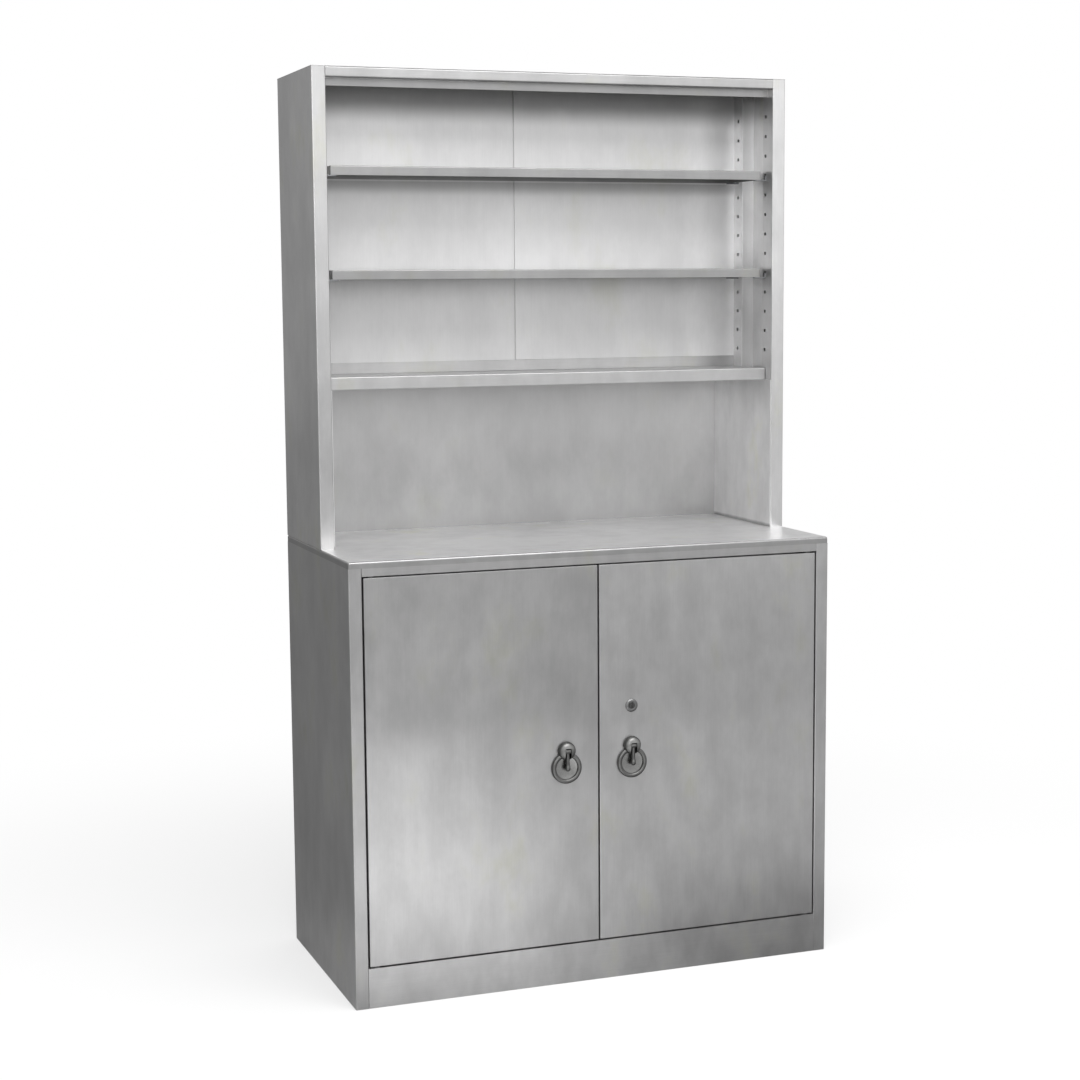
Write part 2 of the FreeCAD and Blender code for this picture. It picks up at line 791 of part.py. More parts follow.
def pivot_bushes():
    """Four flanged bushes that the pivot pins turn in."""
    collar = S.door_end_gap - S.seat_gap
    length = collar + S.bush_spigot
    bushes = []
    for side in SIDE_NAMES:
        x = PIVOT_X * side
        for collar_start, start in (
                (S.plinth_height, S.plinth_height - S.bush_spigot),
                (OPENING_TOP - collar, OPENING_TOP - collar)):
            whole = join(
                "bush_solid",
                rod("bush_collar", "z", (x, PIVOT_Y, collar_start), S.bush_collar_radius, collar),
                rod("bush_spigot_rod", "z", (x, PIVOT_Y, start), BUSH_SPIGOT_RADIUS, length))
            bore = rod("bush_bore", "z", (x, PIVOT_Y, start - S.cut_overrun),
                       S.pivot_radius + S.running_gap, length + S.cut_overrun * 2)
            bushes.append(cut("bush", whole, bore))
    return group("pivot_bushes", bushes)


def door_bumpers():
    """Four rubber buttons on the lip, behind the top corners of the doors."""
    start = DOOR_REAR + S.seat_gap
    height = LIP_BOTTOM + S.bumper_radius
    return group("door_bumpers", [
        rod("bumper", "y", (x * side, start, height), S.bumper_radius, LIP_FRONT - start)
        for side in SIDE_NAMES
        for x in (DOOR_INNER + S.bumper_inset, DOOR_OUTER - S.bumper_inset)
    ])


def door_catches():
    """Two magnetic catches behind the lip, each with a nose under it."""
    catches = []
    half = S.catch_width / 2
    for side in SIDE_NAMES:
        low = S.catch_offset * side - half
        high = S.catch_offset * side + half
        case = box("catch_case", (low, LIP_REAR, CATCH_BOTTOM),
                   (high, LIP_REAR + S.catch_depth, OPENING_TOP))
        nose = box("catch_nose", (low, DOOR_REAR + S.strike_sheet + S.seat_gap, CATCH_BOTTOM),
                   (high, LIP_REAR, LIP_BOTTOM - S.seat_gap))
        catches.append(join("catch", case, nose))
    return group("door_catches", catches)


def door_strike(side):
    """Steel plate on a door's back that the catch holds."""
    half = S.catch_width / 2
    centre = S.catch_offset * side
    return plate("%s_door_strike" % SIDE_NAMES[side], (centre - half, DOOR_REAR, CATCH_BOTTOM),
                 (centre + half, DOOR_REAR + S.strike_sheet, LIP_BOTTOM - S.seat_gap))


# Slide bolts of the left door.

def stretch(end, inward, near, far):
    """The two heights, lower first, that lie near and far inwards of a bolt's end."""
    return (end - far, end - near) if inward < 0 else (end + near, end + far)


def guide(bottom, top):
    """Block on the door's back that a slide bolt runs through."""
    x = -S.slide_offset
    half = S.guide_width / 2
    rear = SLIDE_Y + S.slide_radius + S.guide_wall
    block = box("guide_block", (x - half, DOOR_REAR, bottom), (x + half, rear, top))
    bore = rod("guide_bore", "z", (x, SLIDE_Y, bottom - S.cut_overrun),
               S.slide_radius + S.running_gap, top - bottom + S.cut_overrun * 2)
    return cut("guide", block, bore)


BOLT_ENDS = ((TOP_BOLT_END, -1), (BOTTOM_BOLT_END, 1))


def bolt_guides():
    """Two guides for each slide bolt, with room for the knob's travel between them."""
    reaches = ((as_size(0), S.guide_height), (GUIDE_SPAN - S.guide_height, GUIDE_SPAN))
    return group("bolt_guides", [
        guide(*stretch(end, inward, near, far))
        for end, inward in BOLT_ENDS
        for near, far in reaches
    ])


def slide_bolt(name, end, inward):
    """Round bolt, drawn back, with its knob beside the inner guide."""
    x = -S.slide_offset
    bottom, top = stretch(end, inward, as_size(0), GUIDE_SPAN + S.slide_travel)
    knob_reach = GUIDE_SPAN - S.guide_height - S.knob_gap - S.knob_radius
    knob_height = stretch(end, inward, knob_reach, knob_reach)[0]
    return join(name, rod("slide_rod", "z", (x, SLIDE_Y, bottom), S.slide_radius, top - bottom),
                rod("slide_knob", "y", (x, SLIDE_Y, knob_height), S.knob_radius, S.knob_reach))


# Pulls.

def pull_plate(side):
    """Cast plate of a pull: a dish with a rim, and over it a round boss with a slot."""
    x = S.pull_offset * side
    rim_centre = (x, FRONT - S.dish_rim_radius, S.pull_height)
    bevel_end = S.boss_radius - S.boss_bevel
    solid = join(
        "pull_solid",
        rod("dish", "y", (x, DISH_FACE, S.pull_height),
            S.dish_radius - S.dish_rim_radius, S.dish_sheet),
        turned("Part::Torus", "dish_rim", "y", rim_centre,
               {"Radius1": S.dish_radius - S.dish_rim_radius, "Radius2": S.dish_rim_radius}),
        rod("boss", "y", (x, FRONT - S.boss_reach + S.boss_bevel, BOSS_HEIGHT), S.boss_radius,
            S.boss_reach - S.boss_bevel),
        cone("boss_face", "y", (x, FRONT - S.boss_reach, BOSS_HEIGHT), bevel_end, S.boss_radius,
             S.boss_bevel))
    half = S.drop_eye_length / 2 + S.drop_slot_gap
    slot = box("drop_slot",
               (x - half, FRONT - S.boss_reach - S.cut_overrun,
                BOSS_HEIGHT - S.boss_radius - S.cut_overrun),
               (x + half, DISH_FACE, BOSS_HEIGHT + S.drop_eye_radius + S.drop_eye_gap))
    return cut("%s_pull_plate" % SIDE_NAMES[side], solid, slot,
               pull_pin_rod("pin_seat", x, S.pull_pin_radius))


def pull_pin_rod(name, x, radius):
    """A rod on the drop's pivot line, as long as the pin."""
    half = S.pull_pin_length / 2
    return rod(name, "x", (x - half, DROP_PIVOT_Y, BOSS_HEIGHT), radius, S.pull_pin_length)


def pull_pin(side):
    """Pin that the drop hangs on."""
    name = "%s_pull_pin" % SIDE_NAMES[side]
    return pull_pin_rod(name, S.pull_offset * side, S.pull_pin_radius)


def pull_drop(side):
    """Tongue that hangs in front of the dish: an eye, a tapered stem and a round tip."""
    x = S.pull_offset * side
    tip = (x, DROP_PIVOT_Y, BOSS_HEIGHT - S.drop_length)
    eye_start = (x - S.drop_eye_length / 2, DROP_PIVOT_Y, BOSS_HEIGHT)
    solid = join(
        "drop_solid",
        rod("drop_eye", "x", eye_start, S.drop_eye_radius, S.drop_eye_length),
        cone("drop_stem", "z", tip, S.drop_waist_radius, S.drop_neck_radius, S.drop_length),
        turned("Part::Sphere", "drop_tip", "z", tip, {"Radius": S.drop_tip_radius}))
    bore = pull_pin_rod("eye_bore", x, S.pull_pin_radius + S.running_gap)
    return cut("%s_pull_drop" % SIDE_NAMES[side], solid, bore)


# Lock of the right door.

def lock_rod(name, start, radius, end):
    """A rod on the lock's axis between two places."""
    return rod(name, "y", (S.pull_offset, start, S.lock_height), radius, end - start)


def lock_housing():
    """Collar on the door's face and the barrel through the door."""
    collar_front = FRONT - S.lock_collar_reach
    solid = join("housing_solid", lock_rod("collar", collar_front, S.lock_collar_radius, FRONT),
                 lock_rod("barrel", FRONT, S.lock_barrel_radius, BARREL_END))
    bore = lock_rod("plug_bore", collar_front - S.cut_overrun, S.lock_plug_radius + S.running_gap,
                    BARREL_END + S.cut_overrun)
    return cut("lock_housing", solid, bore)


def lock_plug():
    """Plug with its keyway, and the square tail that carries the cam."""
    front = FRONT - S.lock_collar_reach - S.lock_plug_proud
    half_tail = S.lock_tail_square / 2
    x = S.pull_offset
    z = S.lock_height
    tail = box("plug_tail", (x - half_tail, BARREL_END, z - half_tail),
               (x + half_tail, CAM_REAR, z + half_tail))
    keyway = box("keyway", (x - S.keyway_width / 2, front - S.cut_overrun, z - S.keyway_height / 2),
                 (x + S.keyway_width / 2, front + S.keyway_depth, z + S.keyway_height / 2))
    solid = join("plug_solid", lock_rod("plug", front, S.lock_plug_radius, BARREL_END), tail)
    return cut("lock_plug", solid, keyway)


def lock_nut():
    """Nut that clamps the barrel to the door."""
    end = BARREL_END - S.seat_gap
    nut = hexagon("nut_bar", "y", (S.pull_offset, DOOR_REAR, S.lock_height), S.lock_nut_radius,
                  end - DOOR_REAR)
    hole = lock_rod("nut_hole", DOOR_REAR - S.cut_overrun, S.lock_barrel_radius,
                    end + S.cut_overrun)
    return cut("lock_nut", nut, hole)


def lock_cam():
    """Cam that swings behind the left door, at rest hanging down."""
    x = S.pull_offset
    z = S.lock_height
    half = S.lock_cam_width / 2
    half_tail = S.lock_tail_square / 2
    bar = box("cam_bar", (x - half, BARREL_END, z + half - S.lock_cam_length),
              (x + half, CAM_REAR, z + half))
    hole = box("cam_hole", (x - half_tail, BARREL_END - S.cut_overrun, z - half_tail),
               (x + half_tail, CAM_REAR + S.cut_overrun, z + half_tail))
    return cut("lock_cam", bar, hole)


def lock_screw():
    """Head of the screw that holds the cam on."""
    return lock_rod("lock_screw", CAM_REAR, S.lock_screw_radius, CAM_REAR + S.lock_screw_head)


# Hutch.

def hutch_side(side):
    """Side sheet, folded round the front into the stile and a slotted box behind it."""
    path = [
        (HALF - S.rear_flange, BACK),
        (HALF, BACK),
        (HALF, HUTCH_FRONT),
        (HUTCH_HALF, HUTCH_FRONT),
        (HUTCH_HALF, HUTCH_RETURN_BACK),
        (INNER_HALF - S.seat_gap, HUTCH_RETURN_BACK),
    ]
    owner = upright("hutch_%s_side" % SIDE_NAMES[side], side, path, S.base_height, ROOF_BOTTOM)
    slotted(owner, side, HUTCH_HALF, HUTCH_SLOT_YS[0], HUTCH_FIRST_SLOT, ROOF_RAIL_BOTTOM)
    rounded(owner, S.corner_radius, [("z", HALF * side, HUTCH_FRONT)])
    return owner


def niche_liner(side):
    """Smooth wall of the open bay, turned outwards at its top to carry the fixed shelf."""
    face = HUTCH_HALF - S.carcass_sheet
    start, end = across(side, face, HUTCH_HALF)
    wall = box("liner_wall", (start, HUTCH_FRONT + S.carcass_sheet, S.base_height),
               (end, PANEL_FRONT, DECK_BOTTOM))
    start, end = across(side, face, INNER_HALF)
    flange = box("liner_flange", (start, HUTCH_RETURN_BACK, DECK_BOTTOM - S.carcass_sheet),
                 (end, PANEL_FRONT, DECK_BOTTOM))
    return join("niche_%s_liner" % SIDE_NAMES[side], wall, flange)


def hutch_feet():
    """Angle inside the bottom of each hutch side, for the bolts."""
    feet = []
    top = S.base_height + S.carcass_sheet
    for side in SIDE_NAMES:
        start, end = across(side, HUTCH_HALF, INNER_HALF)
        sole = box("foot_sole", (start, HUTCH_RETURN_BACK, S.base_height), (end, PANEL_FRONT, top))
        start, end = across(side, INNER_HALF - S.carcass_sheet, INNER_HALF)
        flange = box("foot_flange", (start, HUTCH_RETURN_BACK, S.base_height),
                     (end, PANEL_FRONT, S.base_height + S.foot_flange))
        feet.append(join("foot_sheet", sole, flange))
    tools = bolt_holes(S.base_height, top)
    return cut("hutch_feet", group("feet_sheets", feet), *tools)


def joint_bolts():
    """Hexagon bolts down through the hutch feet and the worktop."""
    head_bottom = S.base_height + S.carcass_sheet
    end = CARCASS_TOP - S.joint_nut - S.joint_bolt_end
    return group("joint_bolts", [
        join("joint_bolt",
             hexagon("bolt_head", "z", (x, y, head_bottom), S.joint_bolt_head_radius,
                     S.joint_bolt_head),
             rod("bolt_shank", "z", (x, y, end), S.joint_bolt_radius, head_bottom - end))
        for x, y in joint_bolt_places()
    ])


def joint_nuts():
    """Nuts of those bolts, under the worktop's core."""
    bottom = CARCASS_TOP - S.joint_nut
    nuts = []
    for x, y in joint_bolt_places():
        bar = hexagon("joint_nut_bar", "z", (x, y, bottom), S.joint_bolt_head_radius, S.joint_nut)
        hole = rod("joint_nut_hole", "z", (x, y, bottom - S.cut_overrun), S.joint_bolt_radius,
                   S.joint_nut + S.cut_overrun * 2)
        nuts.append(cut("joint_nut", bar, hole))
    return group("joint_nuts", nuts)


def hutch_back():
    """Full-height back sheet of the hutch."""
    return plate("hutch_back_panel", (-INNER_HALF, PANEL_FRONT, S.base_height),
                 (INNER_HALF, PANEL_BACK, ROOF_BOTTOM))


def upper_back(side):
    """One half of the forward back sheet over the fixed shelf, its upright edges turned back."""
    flange_back = UPPER_BACK + S.upper_back_flange
    path = [
        (INNER_HALF, flange_back),
        (INNER_HALF, UPPER_BACK),
        (as_size(0), UPPER_BACK),
        (as_size(0), flange_back),
    ]
    return upright("upper_back_%s" % SIDE_NAMES[side], side, path, DECK_TOP, ROOF_BOTTOM)


def upper_back_batten():
    """Strip over the seam of the upper back, most of it to the left of the seam."""
    half = S.batten_width / 2
    bottom = DECK_TOP + S.shelf_upstand
    return plate("upper_back_batten",
                 (-half - S.batten_shift, UPPER_BACK - S.batten_depth, bottom),
                 (half - S.batten_shift, UPPER_BACK, ROOF_BOTTOM))


def deck():
    """Fixed shelf over the open bay."""
    return tray("fixed_shelf", (-HUTCH_HALF, HUTCH_FRONT + S.shelf_setback, DECK_BOTTOM),
                (HUTCH_HALF, PANEL_FRONT, DECK_TOP), S.carcass_sheet)


def deck_upstand():
    """Strip that stands on the fixed shelf along the upper back."""
    return plate("fixed_shelf_upstand", (-HUTCH_HALF, UPPER_BACK - S.carcass_sheet, DECK_TOP),
                 (HUTCH_HALF, UPPER_BACK, DECK_TOP + S.shelf_upstand))


def roof():
    """Roof sheet over the whole hutch."""
    return plate("hutch_roof", (-HALF, HUTCH_FRONT, ROOF_BOTTOM), (HALF, BACK, TOTAL_HEIGHT))


def roof_rail():
    """Rail along the top of the hutch's front, with a lip set back under it."""
    lip_bottom = ROOF_RAIL_BOTTOM - S.roof_rail_lip
    path = [
        (HUTCH_FRONT + S.roof_rail_return, lip_bottom),
        (HUTCH_FRONT + S.roof_rail_return, ROOF_RAIL_BOTTOM),
        (HUTCH_FRONT, ROOF_RAIL_BOTTOM),
        (HUTCH_FRONT, ROOF_BOTTOM),
        (HUTCH_FRONT + S.head_top_flange, ROOF_BOTTOM),
    ]
    return rail("hutch_roof_rail", path, HUTCH_HALF)


def build():
    """Make every sub-part and give each the label that names its node."""
    pieces = [
        base_back(), plinth(), base_floor(), head_rail(), rear_rail(), worktop(), worktop_core(),
        rear_posts("base_rear_posts", OPENING_HALF, PANEL_FRONT, FLOOR_TOP,
                   CARCASS_TOP - S.rear_rail, BASE_FIRST_SLOT, LIP_BOTTOM),
        loose_shelf("inner_shelf", OPENING_HALF, FRONT + S.inner_shelf_setback, PANEL_FRONT,
                    shelf_top(BASE_FIRST_SLOT, INNER_SHELF_SLOT_COUNT)),
        clips(), pivot_bushes(), door_bumpers(), door_catches(),
        bolt_guides(),
        slide_bolt("left_door_top_bolt", *BOLT_ENDS[0]),
        slide_bolt("left_door_bottom_bolt", *BOLT_ENDS[1]),
        lock_housing(), lock_plug(), lock_nut(), lock_cam(), lock_screw(),
        rear_posts("hutch_rear_posts", HUTCH_HALF, UPPER_BACK, DECK_BOTTOM, ROOF_BOTTOM,
                   HUTCH_FIRST_SLOT, ROOF_RAIL_BOTTOM),
        hutch_feet(), joint_bolts(), joint_nuts(), hutch_back(), upper_back_batten(),
        deck(), deck_upstand(), roof(), roof_rail(),
    ]
    for name, count in (("middle_shelf", MIDDLE_SHELF_SLOT_COUNT),
                        ("upper_shelf", UPPER_SHELF_SLOT_COUNT)):
        pieces.append(loose_shelf(name, HUTCH_HALF, HUTCH_FRONT + S.shelf_setback, UPPER_BACK,
                                  shelf_top(HUTCH_FIRST_SLOT, count)))
    for side in SIDE_NAMES:
        for make in (base_side, hutch_side, niche_liner, upper_back, door_skin, door_liner,
                     door_stiffener, door_pivots, door_strike, pull_plate, pull_pin, pull_drop):
            pieces.append(make(side))
    for piece in pieces:
        piece.Label = piece.Name
    return pieces


def check(pieces):
    """Stop if any object failed or any sub-part's shape is null or not valid."""
    for item in DOC.Objects:
        if "Invalid" in item.State or "Error" in item.State:
            raise RuntimeError("%s failed: %s" % (item.Name, item.State))
    for piece in pieces:
        if piece.Shape.isNull() or not piece.Shape.isValid() or not piece.Shape.Solids:
            raise RuntimeError("%s has no valid shape" % piece.Label)


fill_sheet()
PIECES = build()
DOC.recompute()
check(PIECES)
os.makedirs("parts", exist_ok=True)
for part in PIECES:
    part.Shape.exportStep("parts/%s.step" % part.Label)
    print(part.Label, len(part.Shape.Solids), part.Shape.BoundBox)
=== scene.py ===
"""Looks of a stainless steel medical cabinet: a two-door base, a worktop and an open shelf hutch.

X runs to the right as seen from the front, Y from front to back and Z up, with the floor at zero.
Sizes here are in millimetres, and a surface is scaled to metres when its mesh is made.
"""

import json
import logging
import math
from dataclasses import dataclass
from enum import Enum
from typing import Any, ClassVar

import bmesh
import bpy
import numpy as np
from mathutils import Matrix, Vector

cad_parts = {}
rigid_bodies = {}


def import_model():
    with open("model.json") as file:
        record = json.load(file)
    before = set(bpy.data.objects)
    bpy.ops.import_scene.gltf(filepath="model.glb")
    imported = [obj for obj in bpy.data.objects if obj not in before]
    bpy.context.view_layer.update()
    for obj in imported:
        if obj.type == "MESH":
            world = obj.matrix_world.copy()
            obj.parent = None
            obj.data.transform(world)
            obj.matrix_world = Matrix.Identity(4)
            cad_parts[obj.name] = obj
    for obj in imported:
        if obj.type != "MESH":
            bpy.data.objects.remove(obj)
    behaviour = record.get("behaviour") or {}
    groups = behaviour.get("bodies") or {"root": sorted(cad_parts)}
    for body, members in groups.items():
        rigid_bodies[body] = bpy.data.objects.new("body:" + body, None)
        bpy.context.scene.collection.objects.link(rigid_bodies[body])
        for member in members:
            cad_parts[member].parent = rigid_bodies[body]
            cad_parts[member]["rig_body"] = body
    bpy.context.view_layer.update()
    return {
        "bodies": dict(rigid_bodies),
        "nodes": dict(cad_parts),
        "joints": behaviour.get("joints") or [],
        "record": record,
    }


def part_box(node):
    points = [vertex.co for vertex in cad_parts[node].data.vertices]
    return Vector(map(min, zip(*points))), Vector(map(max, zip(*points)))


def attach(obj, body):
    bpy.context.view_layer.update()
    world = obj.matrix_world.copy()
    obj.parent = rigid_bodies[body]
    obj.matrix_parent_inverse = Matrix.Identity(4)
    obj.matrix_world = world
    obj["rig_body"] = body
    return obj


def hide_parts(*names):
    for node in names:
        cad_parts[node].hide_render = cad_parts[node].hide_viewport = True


Array = np.ndarray
Socket = bpy.types.NodeSocket

LOG = logging.getLogger("medical_cabinet")
MM = 0.001

# Edges sharper than these keep a hard line in the shading, and get a bevel.
HARD_EDGE = math.radians(38.0)
BEVELLED_EDGE = math.radians(40.0)

# In a copy of a node, points this near in metres are one, and flatter edges than this go.
MERGED = 1e-6
FLAT_EDGE = math.radians(1.0)

# Grid lines nearer than a ten thousandth of a millimetre are one.
PLACES = 4

# A point this near in millimetres to a leg of a fold line, or to an axis, lies on it.
ON_LEG = 0.01
ON_AXIS = 1e-6

# A corner's rounding takes up at most this share of a leg.
MOST_OF_LEG = 0.45


class Side(Enum):
    """A side of the cabinet as seen from the front, with its sign along X."""

    LEFT = -1
    RIGHT = 1

    @property
    def word(self) -> str:
        """The side's name as it stands in the names of nodes."""
        return self.name.lower()


class Axis(Enum):
    """The axis that a surface is drawn out along or turned about."""

    X = 0
    Y = 1
    Z = 2


class Grain(Enum):
    """The way a sheet was brushed, as its pattern's size along X, Y and Z per metre."""

    UPRIGHT = (1.0, 1.0, 0.02)
    LEVEL = (0.02, 1.0, 1.0)


# Surfaces.


@dataclass(frozen=True)
class Surface:
    """Points in millimetres and the faces between them.

    Attributes:
        points: One row of X, Y and Z per point.
        faces: Groups of faces with the same number of corners, as rows of point numbers.
    """

    points: Array
    faces: tuple[Array, ...]

    def flipped(self) -> "Surface":
        """The same surface with each face turned over."""
        return Surface(self.points, tuple(group[:, ::-1] for group in self.faces))

    def mirrored(self) -> "Surface":
        """The surface on the other side of the middle: x becomes minus x."""
        return Surface(self.points * (-1.0, 1.0, 1.0), self.flipped().faces)

    def on(self, side: Side) -> "Surface":
        """The surface as made for the right, or mirrored for the left."""
        return self if side is Side.RIGHT else self.mirrored()

    def outward(self) -> "Surface":
        """The closed surface with its faces outwards.

        The volume is the sum over the faces of a triple product of their corners, and is
        negative where the faces point inwards.

        Returns:
            This surface, or its flipped copy.
        """
        volume = 0.0
        for group in self.faces:
            first = self.points[group[:, 0]]
            for corner in range(1, group.shape[1] - 1):
                spread = np.cross(self.points[group[:, corner]], self.points[group[:, corner + 1]])
                volume += float(np.einsum("ij,ij->", first, spread))
        return self if volume > 0 else self.flipped()


def gathered(*surfaces: Surface) -> Surface:
    """Several surfaces as one.

    Args:
        surfaces: The surfaces, whose corner numbers move up past the points before them.

    Returns:
        One surface with all of their points and faces.
    """
    starts = np.cumsum([0] + [len(surface.points) for surface in surfaces[:-1]])
    faces = tuple(
        group + start for surface, start in zip(surfaces, starts) for group in surface.faces
    )
    return Surface(np.concatenate([surface.points for surface in surfaces]), faces)


def quads(
    rows: int, columns: int, close_rows: bool = False, close_columns: bool = False
) -> Array:
    """Faces of a grid whose point (i, j) has the number i times columns plus j.

    Args:
        rows: Number of points one way.
        columns: Number of points the other way.
        close_rows: Join the last row to the first.
        close_columns: Join the last column to the first.

    Returns:
        Rows of four point numbers.
    """
    i, j = np.meshgrid(
        np.arange(rows if close_rows else rows - 1),
        np.arange(columns if close_columns else columns - 1),
        indexing="ij",
    )
    below, beside = (i + 1) % rows, (j + 1) % columns
    corners = (
        i * columns + j, below * columns + j, below * columns + beside, i * columns + beside,
    )
    return np.stack(corners, -1).reshape(-1, 4)


def thickened(outer: Array, inner: Array, faces: Array) -> Surface:
    """A closed sheet between two layers of the same layout.

    An edge that only one face uses, at the sheet's rim or round a hole, gets a wall to the
    other layer. Points that no face uses are dropped.

    Args:
        outer: Points of the outer layer.
        inner: Points of the inner layer, in the same order.
        faces: Faces of the outer layer.

    Returns:
        The closed surface, faces outwards.
    """
    count = len(outer)
    edges = np.stack([faces, np.roll(faces, -1, axis=1)], -1).reshape(-1, 2)
    there = edges[:, 0] * count + edges[:, 1]
    back = edges[:, 1] * count + edges[:, 0]
    rim = edges[~np.isin(there, back)]
    walls = np.stack([rim[:, 1], rim[:, 0], rim[:, 0] + count, rim[:, 1] + count], -1)
    every = np.concatenate([faces, faces[:, ::-1] + count, walls])
    used, numbers = np.unique(every, return_inverse=True)
    points = np.concatenate([outer, inner])[used]
    return Surface(points, (numbers.reshape(every.shape),)).outward()


def ripple(first: Array, second: Array) -> Array:
    """A slow wave between 0.6 and 1: 0.8 + 0.2 cos(first + second)."""
    return 0.8 + 0.2 * np.cos(first + second)


def spaced(start: float, end: float, step: float) -> Array:
    """Places from a start to an end, evenly spaced and at most a step apart."""
    return np.linspace(start, end, max(2, math.ceil((end - start) / step) + 1))


def softened(corners: Array, radius: float, closed: bool = False, steps: int = 5) -> Array:
    """A line whose corners are rounded.

    Each corner C becomes the curve (1-t)^2 A + 2t(1-t) C + t^2 B, t from 0 to 1, where A and B
    lie a radius from C along its two legs, or less where a leg is too short.

    Args:
        corners: Rows of two coordinates.
        radius: How far from a corner its rounding starts.
        closed: The line's end is joined to its start, and that corner is rounded as well.
        steps: Points in each rounding.

    Returns:
        The points of the rounded line.
    """
    before = np.roll(corners, 1, axis=0) - corners
    after = np.roll(corners, -1, axis=0) - corners
    spans = [np.linalg.norm(leg, axis=1, keepdims=True) for leg in (before, after)]
    starts = corners + before * np.minimum(radius / spans[0], MOST_OF_LEG)
    ends = corners + after * np.minimum(radius / spans[1], MOST_OF_LEG)
    t = np.linspace(0.0, 1.0, steps)[None, :, None]
    curves = (
        starts[:, None] * (1 - t) ** 2
        + corners[:, None] * 2 * t * (1 - t)
        + ends[:, None] * t ** 2
    )
    if closed:
        return curves.reshape(-1, 2)
    return np.concatenate([corners[:1], curves[1:-1].reshape(-1, 2), corners[-1:]])


def capped(rings: Array, poles: dict[int, Array], closed: bool = False) -> Surface:
    """Rings of points, each joined to the next, with a fan to a pole at an end.

    Args:
        rings: A table of points, one row per ring.
        poles: The pole's point for ring 0, for ring -1 or for both.
        closed: The last ring is joined to the first.

    Returns:
        The surface, its faces turned the way that the rings run.
    """
    count, segments = rings.shape[:2]
    points = [rings.reshape(-1, 3)]
    faces = [quads(count, segments, close_rows=closed, close_columns=True)]
    number = np.arange(segments)
    beside = (number + 1) % segments
    for ring, point in poles.items():
        pole = np.full(segments, sum(len(group) for group in points))
        start = 0 if ring == 0 else (count - 1) * segments
        fan = [pole, number + start] if ring == 0 else [number + start, pole]
        faces.append(np.stack([*fan, beside + start], -1))
        points.append(np.reshape(point, (1, 3)))
    return Surface(np.concatenate(points), tuple(faces))


def turned(profile: Array, centre: tuple[float, float, float], axis: Axis,
           closed: bool = False, segments: int = 48) -> Surface:
    """A profile carried once round an axis.

    The point (r, h) of the profile goes to r cos a and r sin a across the axis and h along it,
    a from 0 to a full turn. A first or last point with no radius is a pole, closed by a fan.

    Args:
        profile: Rows of radius and height.
        centre: Where the profile's zero lies.
        axis: The axis turned about.
        closed: The profile is a loop, as of a ring.
        segments: Points round the axis.

    Returns:
        The closed surface, faces outwards.
    """
    order = {Axis.X: [2, 0, 1], Axis.Y: [0, 2, 1], Axis.Z: [0, 1, 2]}[axis]
    poles = {
        place: np.array([0.0, 0.0, profile[place, 1]])[order] + np.array(centre)
        for place in (0, -1) if not closed and profile[place, 0] < ON_AXIS
    }
    rings = profile[1 if 0 in poles else 0:len(profile) - (1 if -1 in poles else 0)]
    turn = np.linspace(0.0, 2 * math.pi, segments, endpoint=False)
    across = rings[:, :1, None] * np.stack([np.cos(turn), np.sin(turn)], -1)[None]
    along = np.broadcast_to(rings[:, 1, None, None], across.shape[:2] + (1,))
    grid = np.concatenate([across, along], -1)[..., order] + np.array(centre)
    return capped(grid, poles, closed).outward()


@dataclass(frozen=True)
class SlotColumn:
    """A column of slots through a folded sheet.

    Attributes:
        place: Centre of the slots on the sheet's line.
        first: Bottom of the lowest slot.
        count: How many slots there are.
        pitch: From one slot to the next.
        width: Width along the line.
        height: Height of a slot.
    """

    place: tuple[float, float]
    first: float
    count: int
    pitch: float = 40.0
    width: float = 8.0
    height: float = 6.0

    def marks(self) -> Array:
        """The two places on the line where the slots start and end."""
        half = self.width / 2
        return np.array([[self.place[0], self.place[1] + shift] for shift in (-half, half)])

    def levels(self) -> Array:
        """The heights where slots start and end."""
        bottoms = self.first + self.pitch * np.arange(self.count)
        return np.concatenate([bottoms, bottoms + self.height])

    def covers(self, line: Array, stations: Array) -> Array:
        """Which cells of a grid lie in a slot.

        Args:
            line: Points of the sheet's line.
            stations: Heights of the grid's columns.

        Returns:
            A table of truth values, one row per stretch of the line.
        """
        spots = (line[1:] + line[:-1]) / 2
        heights = (stations[1:] + stations[:-1]) / 2 - self.first
        beside = np.linalg.norm(spots - np.array(self.place), axis=1) < self.width / 2
        inside = (heights > 0) & (heights < self.pitch * self.count)
        inside &= np.mod(heights, self.pitch) < self.height
        return beside[:, None] & inside[None, :]


